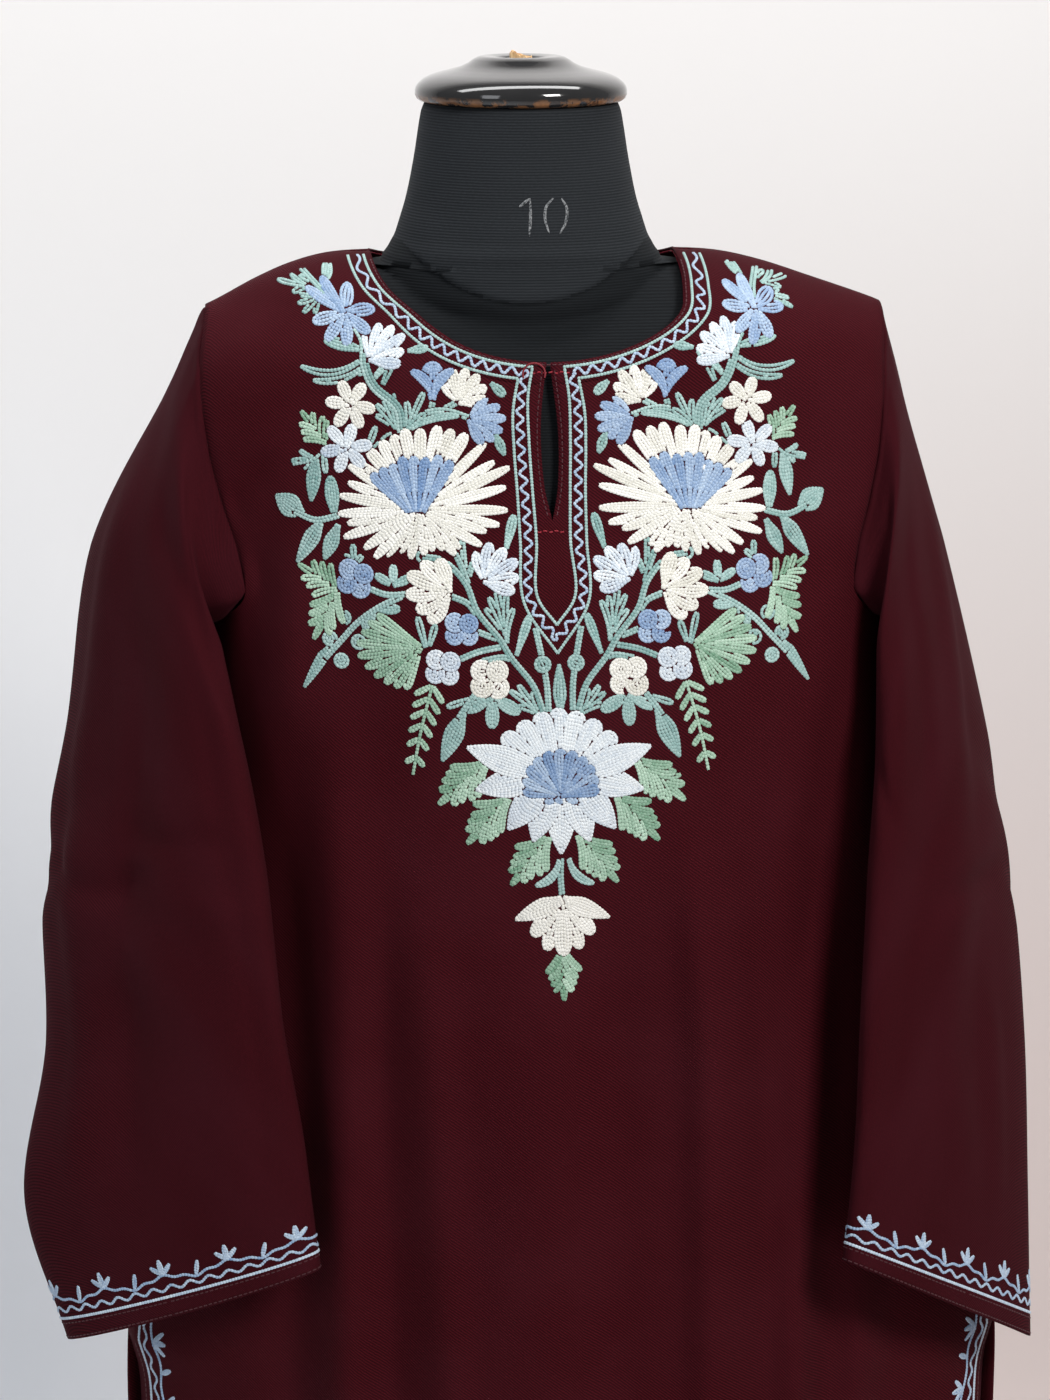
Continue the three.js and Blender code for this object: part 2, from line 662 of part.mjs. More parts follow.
// Half-width of the form at a height: its side, or where the ridge of its shoulder comes down to it.
function formReach(z) {
  const throat = neck(z, "half");
  let reach = torso(z, "half");
  while (reach > throat && formRidge(reach, z) < z) reach -= 0.05;
  return reach;
}

function formDepth(side, x, z) {
  const inside = side === FRONT ? "front" : "back";
  const cloth = body(z, inside) - FORM_EASE;
  const place = formPlace(x, z);
  const round = ridgeShare(formRidge(x, z) - z, ridgeRound(side, place));
  const under = cloth * ovalShare(place / halfWidth(side, z), body(z, "power")) * round;
  const own = torso(z, inside) * ovalShare(x / torso(z, "half"), torso(z, "power"));
  const padded = Math.min(under, own);
  const throat = neck(z, inside) * ovalShare(x / neck(z, "half"), 2);
  return z < NECK[NECK.length - 1].z ? padded : Math.max(padded, throat);
}

function formRing(z) {
  const reach = formReach(z);
  const points = [];
  for (let i = 0; i < FORM_SIDES; i++) {
    const angle = (2 * Math.PI * i) / FORM_SIDES;
    const side = Math.sin(angle) < 0 ? FRONT : BACK;
    const onSide = i % (FORM_SIDES / 2) === 0;
    const x = reach * Math.cos(angle);
    points.push(new THREE.Vector3(x, onSide ? 0 : side * formDepth(side, x, z), z));
  }
  return points;
}

function neckRing(z) {
  const points = [];
  for (let i = 0; i < FORM_SIDES; i++) {
    const angle = (2 * Math.PI * i) / FORM_SIDES;
    const depth = neck(z, Math.sin(angle) < 0 ? "front" : "back");
    points.push(new THREE.Vector3(neck(z, "half") * Math.cos(angle), depth * Math.sin(angle), z));
  }
  return points;
}

// A closed solid through level rings from the bottom up, with flat ends.
function ringSolid(rings) {
  const corners = [];
  const add = (...points) => points.forEach((point) => corners.push(...point.toArray()));
  const count = rings[0].length;
  for (let k = 0; k < rings.length - 1; k++) {
    for (let i = 0; i < count; i++) {
      const next = (i + 1) % count;
      add(rings[k][i], rings[k][next], rings[k + 1][next]);
      add(rings[k][i], rings[k + 1][next], rings[k + 1][i]);
    }
  }
  const first = rings[0];
  const last = rings[rings.length - 1];
  const centre = (ring) => new THREE.Vector3(0, 0, ring[0].z);
  for (let i = 0; i < count; i++) {
    const next = (i + 1) % count;
    add(centre(first), first[next], first[i]);
    add(centre(last), last[i], last[next]);
  }
  const geometry = new THREE.BufferGeometry();
  geometry.setAttribute("position", new THREE.Float32BufferAttribute(corners, 3));
  geometry.computeVertexNormals();
  return geometry;
}

// A turned solid about the pole's axis, from a profile of radius and height that starts and ends on it.
function turned(profile) {
  const geometry = new THREE.LatheGeometry(profile, TURNED_SIDES);
  return geometry.rotateX(Math.PI / 2);
}

function capProfile() {
  const foot = NECK_TOP_Z + SEAM_GAP;
  const top = foot + CAP_HEIGHT;
  const path = new THREE.Path();
  path.moveTo(0, foot);
  path.lineTo(CAP_RADIUS - 6.5, foot);
  path.quadraticCurveTo(CAP_RADIUS, foot, CAP_RADIUS, foot + 5.7);
  path.bezierCurveTo(CAP_RADIUS, foot + 14, 48, foot + 15.5, 40, foot + 18);
  path.bezierCurveTo(30, foot + 20.5, 27, top, 20, top);
  path.lineTo(13.5, top - 0.4);
  path.lineTo(11.5, top - 4);
  path.lineTo(0, top - 4);
  return path.getPoints(5);
}

function stubGeometry() {
  const foot = NECK_TOP_Z + SEAM_GAP + CAP_HEIGHT - 4 + SEAM_GAP;
  const half = STUB_WIDTH / 2;
  const outline = new THREE.Shape();
  outline.moveTo(-half, 0);
  outline.lineTo(half, 0);
  outline.lineTo(half - 0.2, 3.4);
  outline.lineTo(1.6, 4.4);
  outline.lineTo(-2.8, 6.8);
  outline.lineTo(-half + 0.3, 7);
  outline.closePath();
  const geometry = new THREE.ExtrudeGeometry(outline, { depth: STUB_DEPTH, bevelEnabled: false });
  geometry.translate(0, 0, -STUB_DEPTH / 2);
  return geometry.rotateX(Math.PI / 2).translate(0, 0, foot);
}

function poleProfile() {
  const foot = BASE_THICKNESS + SEAM_GAP;
  const top = FORM_FOOT_Z - SEAM_GAP;
  return [
    new THREE.Vector2(0, foot),
    new THREE.Vector2(POLE_RADIUS, foot),
    new THREE.Vector2(POLE_RADIUS, top),
    new THREE.Vector2(0, top),
  ];
}

function baseProfile() {
  const path = new THREE.Path();
  path.moveTo(0, 0);
  path.lineTo(BASE_RADIUS - 2, 0);
  path.lineTo(BASE_RADIUS, 2);
  path.quadraticCurveTo(BASE_RADIUS, 9, BASE_RADIUS - 12, 10);
  path.lineTo(COLLAR_RADIUS + 12, BASE_THICKNESS);
  path.lineTo(0, BASE_THICKNESS);
  return path.getPoints(4);
}

function collarProfile() {
  const foot = BASE_THICKNESS + SEAM_GAP;
  const top = foot + COLLAR_HEIGHT;
  const socket = POLE_RADIUS + SEAM_GAP;
  return [
    new THREE.Vector2(socket, foot),
    new THREE.Vector2(COLLAR_RADIUS, foot),
    new THREE.Vector2(COLLAR_RADIUS, top - 3),
    new THREE.Vector2(COLLAR_RADIUS - 3, top),
    new THREE.Vector2(socket, top),
    new THREE.Vector2(socket, foot),
  ];
}

// ---- assembly ----

function mesh(name, geometry, material) {
  const made = new THREE.Mesh(geometry, material);
  made.name = name;
  return made;
}

function garment() {
  const group = new THREE.Group();
  const pieces = {
    front_panel: panelFaces(FRONT),
    back_panel: panelFaces(BACK),
    sleeve_left: sleeveFaces(LEFT_SLEEVE, LEFT_CREASES, 1),
    sleeve_right: sleeveFaces(RIGHT_SLEEVE, RIGHT_CREASES, -1),
  };
  const normals = surfaceNormals(Object.values(pieces).flat());
  const counts = new Map();
  for (const faces of Object.values(pieces)) {
    for (const key of openEdges(faces).keys()) counts.set(key, (counts.get(key) || 0) + 1);
  }
  const seams = new Set([...counts.keys()].filter((key) => counts.get(key) > 1));
  for (const [name, faces] of Object.entries(pieces)) {
    group.add(mesh(name, wall(faces, normals, CLOTH / 2, -CLOTH / 2, seams), wool));
  }
  const outer = -CLOTH / 2 - SEAM_GAP;
  const facing = wall(facingFaces(), normals, outer, outer - FACING, new Set());
  group.add(mesh("neck_facing", facing, turnedWool));
  return group;
}

function standAndForm() {
  const group = new THREE.Group();
  const rings = [
    ...TORSO_RINGS.map(formRing),
    ...SHOULDER_RINGS.map(formRing),
    ...NECK_RINGS.map(neckRing),
  ];
  group.add(mesh("form_torso", ringSolid(rings), jersey));
  group.add(mesh("neck_cap", turned(capProfile()), lacquer));
  group.add(mesh("cap_stub", stubGeometry(), rawWood));
  group.add(mesh("stand_pole", turned(poleProfile()), steel));
  group.add(mesh("pole_collar", turned(collarProfile()), enamel));
  group.add(mesh("stand_base", turned(baseProfile()), enamel));
  return group;
}

const pheran = new THREE.Group();
pheran.add(garment(), standAndForm());

export default pheran;
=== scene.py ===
"""Looks of a pheran on a limbless dress form, for Blender 4.5: cloth, embroidery, form, stand, studio.

The tables hold millimetres in the frame of the part's solids, and MM turns them into metres.
"""

import json
import logging
import math
from dataclasses import dataclass
from enum import Enum
from typing import Sequence

import bmesh
import bpy
import numpy as np
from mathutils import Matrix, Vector

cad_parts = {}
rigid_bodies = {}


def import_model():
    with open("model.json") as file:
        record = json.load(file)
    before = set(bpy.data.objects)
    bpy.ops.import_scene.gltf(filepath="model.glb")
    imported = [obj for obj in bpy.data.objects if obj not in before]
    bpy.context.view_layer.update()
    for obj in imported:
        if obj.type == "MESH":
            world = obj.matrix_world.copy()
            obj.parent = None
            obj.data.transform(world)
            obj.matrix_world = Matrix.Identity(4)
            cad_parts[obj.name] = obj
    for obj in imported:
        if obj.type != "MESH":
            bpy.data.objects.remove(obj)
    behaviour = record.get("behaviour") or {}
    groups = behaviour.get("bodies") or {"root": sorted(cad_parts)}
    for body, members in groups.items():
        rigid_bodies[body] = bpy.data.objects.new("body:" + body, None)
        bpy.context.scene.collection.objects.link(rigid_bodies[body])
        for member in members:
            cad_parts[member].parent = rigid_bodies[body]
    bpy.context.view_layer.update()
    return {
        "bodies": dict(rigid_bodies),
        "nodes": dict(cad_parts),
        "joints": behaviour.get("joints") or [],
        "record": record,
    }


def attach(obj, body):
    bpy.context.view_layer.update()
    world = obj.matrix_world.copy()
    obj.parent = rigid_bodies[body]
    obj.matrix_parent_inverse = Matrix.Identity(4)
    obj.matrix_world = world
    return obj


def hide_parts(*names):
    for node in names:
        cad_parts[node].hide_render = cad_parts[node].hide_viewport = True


LOG = logging.getLogger("pheran")
MM = 0.001

Array = np.ndarray


class Side(Enum):
    """Front or back panel; the value is the sign of its y."""

    FRONT = -1
    BACK = 1


# ---------------------------------------------------------------- tables of the garment's form

NECK_HALF_WIDTH = 87.0
NECK_DROP = {Side.FRONT: 54.0, Side.BACK: 14.0}
FACING_WIDTH = 12.0
SHOULDER_HALF_WIDTH = 194.0
UNDERARM_Z = 1195.0
SIDE_SLIT_Z = 745.0
HEM_Z = 310.0
SLIT_OPEN_AT_HEM = 14.0
KEYHOLE_FOOT_Z = 1261.0
SHOULDER_ROUND = 60.0
NAPE_ROUND = 28.0
NAPE_EDGE = 50.0
SHOULDER_EDGE = 120.0
FOLD_DRIFT = 150.0
ARMHOLE_SPOKES = 10
SPOKE_STEPS = 12
FACING_ROWS = 4
KEYHOLE_EASE = 8
COLUMN_REACH = {Side.FRONT: 49.6, Side.BACK: 62.0}
NECK_SHARE = 7 / 15
FORM_FOOT_Z = 724.0
NECK_FOOT_Z = 1399.0
FORM_TOP_Z = 1485.0
CAP_FOOT_Z = 1485.3
STUB_FOOT_Z = 1507.3
CLOTH = 1.5
FACING_GAP = 0.3
FACING_HALF = 0.5
TUCK_IN = 1.2
TUCK_ABOVE = 1.5
TUCK_BELOW = 6.0
SLEEVE_LENGTH = 600.0
SLEEVE_RADIUS = 62.0
KEYHOLE_SHARE = 0.46
WELD = 2e-5

# x, z
SHOULDER_LINE = [(0, 1401), (87, 1400.4), (112, 1399), (135, 1393.5), (158, 1385), (194, 1370)]

# z, half-width, front depth, back depth, power of the oval, centre
BODY = [
    (1402, 217, 70, 84, 2.3, 0),
    (1385, 217, 72, 88, 2.3, 6),
    (1370, 217, 75, 92, 2.3, 13),
    (1343, 216, 82, 98, 2.3, 11),
    (1294, 214, 93, 104, 2.3, 11.5),
    (1255, 206, 104, 107, 2.3, 12.5),
    (1225, 197, 114, 107, 2.3, 13.5),
    (1195, 196, 121, 106, 2.3, 14),
    (1150, 199, 127, 104, 2.2, 15),
    (1100, 203, 129, 103, 2.05, 16),
    (1000, 220, 128, 105, 1.75, 19),
    (900, 240, 126, 112, 1.6, 22),
    (800, 257, 124, 118, 1.53, 25),
    (745, 265, 123, 119, 1.5, 26),
    (690, 267, 123, 120, 1.5, 26),
    (600, 266, 124, 121, 1.5, 27),
    (310, 258, 129, 126, 1.5, 28),
]

# z, draw-in of the front panel's open edge, of the back panel's
SLIT_EDGES = [(745, 0, 0), (722, 7.5, 0.5), (690, 9.5, 1), (600, 14, 2), (310, 22, 5)]

# x, z from the shoulder to the underarm
ARMHOLE = [
    (194, 1370),
    (194.5, 1340),
    (193, 1311),
    (190, 1288),
    (184, 1263),
    (177, 1240),
    (173, 1222),
    (175, 1210),
    (184, 1200),
    (196, 1195),
]

# z, half the width of the slit
KEYHOLE = [(1346, 1.2), (1311, 4.8), (1280, 3.8), (1261, 0)]

# start, full, place at the top, at the foot, half-width, rise
FOLDS = {
    Side.FRONT: [
        (1180, 1020, -0.76, -0.61, 20, -8),
        (1150, 980, -0.56, -0.48, 26, 6),
        (1090, 900, -0.38, -0.33, 30, -5),
        (1040, 850, -0.12, -0.09, 66, 4),
        (1080, 880, 0.22, 0.2, 46, -6),
        (1130, 940, 0.46, 0.42, 30, 7),
        (1160, 1040, 0.8, 0.55, 15, -6),
        (1100, 900, 0.76, 0.64, 18, 4),
        (1180, 1010, 0.9, 0.74, 18, -7),
    ],
    Side.BACK: [
        (1150, 960, -0.72, -0.62, 24, -7),
        (1180, 940, -0.5, -0.46, 30, 6),
        (1120, 900, -0.2, -0.22, 34, -6),
        (1200, 930, 0.02, 0.04, 44, 5),
        (1120, 880, 0.28, 0.3, 32, -6),
        (1160, 950, 0.56, 0.5, 26, 6),
        (1150, 980, 0.74, 0.66, 22, -7),
    ],
}

# Rings of a sleeve from armhole to cuff: middle, half-axis towards the shoulder, half-axis to the front
LEFT_SLEEVE = [
    ((205, 0, 1282.5), (2, 0, 87.5), (0, -60, 0)),
    ((218, -3, 1250), (3, 0, 68), (-10, -67, 0)),
    ((228, -11, 1196), (8, -2, 45), (-28, -76, 5)),
    ((238, -28, 1120), (16, -8, 20), (-37, -76, 12)),
    ((244, -45, 1040), (18, -12, 10), (-48, -71, 18)),
    ((246, -60, 954), (16, -14, 5), (-55, -65, 26)),
    ((246, -70, 869), (14, -15, 2), (-58, -58, 35)),
    ((244, -78, 786), (12, -16, 0), (-62, -50, 44)),
]
RIGHT_SLEEVE = [
    ((-177, 0, 1282.5), (-2, 0, 87.5), (0, -60, 0)),
    ((-198, -3, 1250), (-5, 0, 70), (9, -67, 0)),
    ((-212, -12, 1197), (-22, -3, 47), (32, -72, 6)),
    ((-213, -34, 1120), (-23, -11, 20), (48, -72, 12)),
    ((-216, -53, 1046), (-22, -17, 10), (63, -66, 16)),
    ((-212, -68, 956), (-17, -19, 5), (68, -54, 22)),
    ((-213, -78, 872), (-13, -20, 2), (82, -44, 29)),
    ((-197, -84, 795), (-9, -19, 0), (74, -34, 33)),
]

# Main creases of a sleeve: along, turn, slant, length, width, rise
LEFT_FOLDS = [
    (0.3, 0.9, 0.1, 0.9, 0.05, -4),
    (0.5, 5.4, -0.06, 0.8, 0.035, -5),
    (0.62, 0.3, 0.12, 0.8, 0.04, 3.5),
]
RIGHT_FOLDS = [
    (0.26, 0.9, 0.12, 0.9, 0.05, -4),
    (0.55, 5.2, -0.05, 0.8, 0.03, -6),
    (0.66, 0.2, 0.1, 0.9, 0.045, 3.5),
]

# z, half-width, front depth, back depth, power
TORSO = [
    (1376, 172, 90, 100, 3.5),
    (1340, 173, 90, 104, 3.5),
    (1300, 170, 94, 106, 3.4),
    (1250, 160, 102, 104, 3.2),
    (1215, 152, 108, 98, 3.0),
    (1195, 150, 111, 94, 2.8),
    (1150, 144, 116, 90, 2.4),
    (1115, 138, 111, 86, 2.3),
    (1040, 122, 92, 80, 2.2),
    (960, 134, 92, 84, 2.2),
    (880, 146, 94, 88, 2.1),
    (830, 150, 95, 90, 2.1),
    (765, 148, 93, 88, 2.1),
    (738, 143, 89, 84, 2.1),
    (727, 134, 81, 76, 2.1),
    (724, 124, 71, 66, 2.1),
]

# z, half-width, front depth, back depth
NECK = [
    (1485, 55, 54, 54),
    (1480, 57, 56, 56),
    (1450, 62, 60, 60),
    (1421, 68.5, 64, 64),
    (1404, 76, 67, 67),
    (1398, 80, 66, 67.5),
    (1390, 82, 66.5, 67),
    (1378, 82, 67, 62),
    (1366, 77, 62, 50),
    (1350, 60, 50, 30),
]

# Half the cap's outline: radius, height over its foot
CAP = [
    (0, 0.05), (48, 0.05), (54.5, 0.1), (57.6, 0.7), (59.4, 2.0), (60.4, 4.2), (60.4, 6.6), (59.8, 8.6),
    (58.4, 10.6), (55.6, 12.9), (51.5, 14.9), (46.5, 16.4), (40, 18), (34.5, 19.6), (30.2, 21.6),
    (27.4, 23.6), (24.8, 25.0), (22.4, 25.55), (20, 25.6), (17, 25.1), (14.6, 24.8), (13.2, 24.3),
    (12.2, 23.0), (11.6, 21.9), (0, 21.8),
]


# ---------------------------------------------------------------- small mathematics


def blend(start: Array | float, end: Array | float, share: Array | float) -> Array | float:
    """Straight mix of two values."""
    return start + (end - start) * share


def smooth(start: float, end: float, value: Array | float) -> Array:
    """Smooth step from 0 at start to 1 at end; start may be the larger."""
    share = np.clip((np.asarray(value, float) - start) / (end - start), 0, 1)
    return share * share * (3 - 2 * share)


def unit(vectors: Array) -> Array:
    """Vectors along the last axis, each at length 1."""
    return vectors / np.maximum(np.linalg.norm(vectors, axis=-1, keepdims=True), 1e-12)


class Table:
    """Rows of numbers that are read along a smooth curve through their keys."""

    def __init__(self, rows: Sequence[Sequence[float]]) -> None:
        """Sorts the rows by their first number and finds the slope at each.

        Args:
            rows: a key, then its values.
        """
        data = np.array(rows, float)
        data = data[np.argsort(data[:, 0])]
        self.keys, self.values = data[:, 0], data[:, 1:]
        index = np.arange(len(self.keys))
        before, after = np.maximum(index - 1, 0), np.minimum(index + 1, len(index) - 1)
        rise = self.values[after] - self.values[before]
        self.slopes = rise / (self.keys[after] - self.keys[before])[:, None]

    def at(self, key: Array | float, column: int) -> Array:
        """Reads one column.

        Args:
            key: where to read, kept within the table's ends.
            column: number of the column after the key.

        Returns:
            The values, in the shape of key.
        """
        key = np.clip(np.asarray(key, float), self.keys[0], self.keys[-1])
        i = np.clip(np.searchsorted(self.keys, key, side="right") - 1, 0, len(self.keys) - 2)
        span = self.keys[i + 1] - self.keys[i]
        t = (key - self.keys[i]) / span
        a, b = self.values[i, column], self.values[i + 1, column]
        bend = self.slopes[i, column] * (1 - t) - self.slopes[i + 1, column] * t
        return a + (b - a) * t * t * (3 - 2 * t) + span * t * (1 - t) * bend


def catmull(points: Array, share: Array, centripetal: bool) -> Array:
    """Catmull-Rom curve through points, read at even shares between them.

    Args:
        points: the rows to pass through.
        share: places from 0 to 1.
        centripetal: whether the spacing follows the square root of the distances.

    Returns:
        A point for each share.
    """
    points = np.asarray(points, float)
    last = len(points) - 1
    place = np.clip(np.asarray(share, float), 0, 1) * last
    i = np.minimum(place.astype(int), last - 1)
    t = (place - i)[:, None]
    if not centripetal:
        p0, p1 = points[np.maximum(i - 1, 0)], points[i]
        p2, p3 = points[i + 1], points[np.minimum(i + 2, last)]
        v0, v1 = (p2 - p0) / 2, (p3 - p1) / 2
        cubic = (2 * p1 - 2 * p2 + v0 + v1) * t**3
        return cubic + (-3 * p1 + 3 * p2 - 2 * v0 - v1) * t**2 + v0 * t + p1
    ends = np.vstack([2 * points[0] - points[1], points, 2 * points[-1] - points[-2]])
    p0, p1, p2, p3 = ends[i], ends[i + 1], ends[i + 2], ends[i + 3]
    d0, d1, d2 = (
        np.maximum(((b - a) ** 2).sum(-1, keepdims=True) ** 0.25, 1e-4)
        for a, b in ((p0, p1), (p1, p2), (p2, p3))
    )
    v1 = ((p1 - p0) / d0 - (p2 - p0) / (d0 + d1) + (p2 - p1) / d1) * d1
    v2 = ((p2 - p1) / d1 - (p3 - p1) / (d1 + d2) + (p3 - p2) / d2) * d1
    cubic = (2 * p1 - 2 * p2 + v1 + v2) * t**3
    return cubic + (-3 * p1 + 3 * p2 - 2 * v1 - v2) * t**2 + v1 * t + p1


def distance_along(points: Array) -> Array:
    """Running length along a row of points, from 0."""
    steps = np.linalg.norm(np.diff(points, axis=0), axis=1)
    return np.concatenate([[0.0], np.cumsum(steps)])


def read_along(places: Array, lengths: Array, rows: Array) -> Array:
    """Reads rows of numbers, one for each length, at places between the lengths."""
    return np.stack([np.interp(places, lengths, rows[:, k]) for k in range(rows.shape[1])], -1)


@dataclass(frozen=True)
class Crease:
    """A soft ridge or trough along a line on the cloth.

    Attributes:
        line: its points, x from the centre line and z, or turn and along on a sleeve, in mm.
        width: half-width in mm.
        rise: height in mm, under 0 for a trough.
        fade: share of the line over which each end dies away.
    """

    line: tuple[tuple[float, float], ...]
    width: float
    rise: float
    fade: float = 0.35

    def height(self, x: Array, z: Array) -> Array:
        """Height of the crease at places on the cloth.

        Args:
            x: places across, mm.
            z: places up, mm.

        Returns:
            The heights in mm.
        """
        line = np.array(self.line, float)
        lengths = distance_along(line)
        best = np.full(np.shape(x), 1e9)
        where = np.zeros(np.shape(x))
        for i, (start, end) in enumerate(zip(line[:-1], line[1:])):
            step = end - start
            share = ((x - start[0]) * step[0] + (z - start[1]) * step[1]) / (step @ step)
            share = np.clip(share, 0, 1)
            gap = np.hypot(x - start[0] - share * step[0], z - start[1] - share * step[1])
            nearer = gap < best
            best = np.where(nearer, gap, best)
            where = np.where(nearer, (lengths[i] + share * np.hypot(*step)) / lengths[-1], where)
        ends = smooth(0, self.fade, where) * smooth(1, 1 - self.fade, where)
        return self.rise * ends * np.exp(-((best / self.width) ** 2))


# Fine creases laid over the folds of the solids, x from the centre line and z
FRONT_CREASES = [
    Crease(((-148, 1300), (-160, 1286), (-176, 1265), (-196, 1237)), 10, -4.5),
    Crease(((-146, 1285), (-153, 1268), (-164, 1231), (-169, 1182), (-174, 1120)), 10, -5.0),
    Crease(((-136, 1262), (-140, 1237), (-148, 1187), (-150, 1120)), 12, 3.6),
    Crease(((-196, 1330), (-176, 1352), (-158, 1366)), 7, 1.3),
    Crease(((-186, 1300), (-168, 1330), (-150, 1352)), 6, -1.2),
    Crease(((-150, 1262), (-120, 1215), (-96, 1120), (-90, 1020)), 16, -2.2),
    Crease(((172, 1188), (160, 1150), (150, 1100), (132, 1030)), 9, -3.2),
    Crease(((160, 1240), (150, 1190), (142, 1120)), 10, 2.2),
    Crease(((150, 1330), (135, 1300), (128, 1260)), 9, -1.5),
    Crease(((-126, 1180), (-129, 1073), (-134, 950), (-138, 700), (-134, 200)), 14, 8.5, 0.14),
    Crease(((-96, 1110), (-106, 957), (-108, 700), (-102, 200)), 12, -6.5, 0.14),
    Crease(((-76, 1075), (-77, 958), (-74, 700), (-66, 200)), 14, 8.0, 0.14),
    Crease(((27, 1085), (25, 960), (20, 760), (14, 200)), 22, -8.5, 0.14),
    Crease(((70, 1125), (76, 1047), (80, 957), (78, 700), (72, 200)), 13, 9.5, 0.14),
    Crease(((105, 1100), (110, 1013), (113, 952), (112, 700), (106, 200)), 11, -7.0, 0.14),
    Crease(((138, 1040), (136, 946), (134, 700), (128, 200)), 10, 7.0, 0.14),
    Crease(((164, 1070), (160, 943), (157, 700), (150, 200)), 12, -6.5, 0.14),
    Crease(((186, 1175), (164, 1096), (148, 1040), (130, 960)), 9, -3.6),
    Crease(((-30, 1182), (0, 1172), (36, 1184)), 8, -0.7),
    Crease(((-190, 905), (-150, 880), (-110, 872)), 14, -1.6),
]
BACK_CREASES = [
    Crease(((-150, 1300), (-60, 1340), (60, 1338), (140, 1300)), 12, -1.6),
    Crease(((-170, 1240), (-120, 1190), (-104, 1080)), 14, -3.0),
    Crease(((168, 1250), (122, 1180), (100, 1060)), 14, -3.2),
    Crease(((-60, 1180), (-52, 1060), (-60, 900)), 18, 2.2),
    Crease(((70, 1150), (80, 1020), (74, 860)), 18, 2.4),
    Crease(((10, 1080), (16, 940), (12, 780)), 16, -2.4),
    Crease(((-150, 960), (-146, 820), (-150, 640)), 14, 2.0),
    Crease(((150, 940), (156, 800), (150, 620)), 14, -2.0),
]


# ---------------------------------------------------------------- the surfaces of the cloth


@dataclass(frozen=True)
class Seam:
    """A sewn edge in mm: the ditch of the seam itself and the cloth that swells beside it.

    Attributes:
        ditch: depth of the ditch.
        ditch_width: half its width.
        swell: height of the cloth beside it.
        swell_at: distance of that from the seam.
        swell_width: half its width.
    """

    ditch: float
    ditch_width: float
    swell: float
    swell_at: float
    swell_width: float

    def sunk(self, gap: Array) -> Array:
        """Height of the ditch at distances from the seam."""
        return -self.ditch * np.exp(-((gap / self.ditch_width) ** 2))

    def raised(self, gap: Array) -> Array:
        """Height of the swell at distances from the seam."""
        return self.swell * np.exp(-(((gap - self.swell_at) / self.swell_width) ** 2))


PANEL_SEAM = Seam(0.9, 2.6, 0.45, 6.0, 3.2)
SLEEVE_SEAM = Seam(0.9, 3.0, 0.8, 12.0, 8.0)

# Height, distance in mm from the edge to the start and to the end of the step into a turned edge
HEM_TURN = (0.5, 16.0, 12.0)
CUFF_TURN = (0.35, 15.0, 12.0)


class Surface:
    """A sheet that is placed by two numbers; a subclass says where each pair lies."""

    def point(self, u: Array, v: Array) -> Array:
        """Points in mm of the places u and v."""
        raise NotImplementedError

    def normal(self, u: Array, v: Array, du: float, dv: float) -> Array:
        """Outward normals at the places u and v.

        Args:
            u: first number of each place.
            v: second number.
            du: small step of u.
            dv: small step of v.

        Returns:
            Unit vectors.
        """
        across = self.point(u + du, v) - self.point(u - du, v)
        along = self.point(u, v + dv) - self.point(u, v - dv)
        return unit(np.cross(across, along))


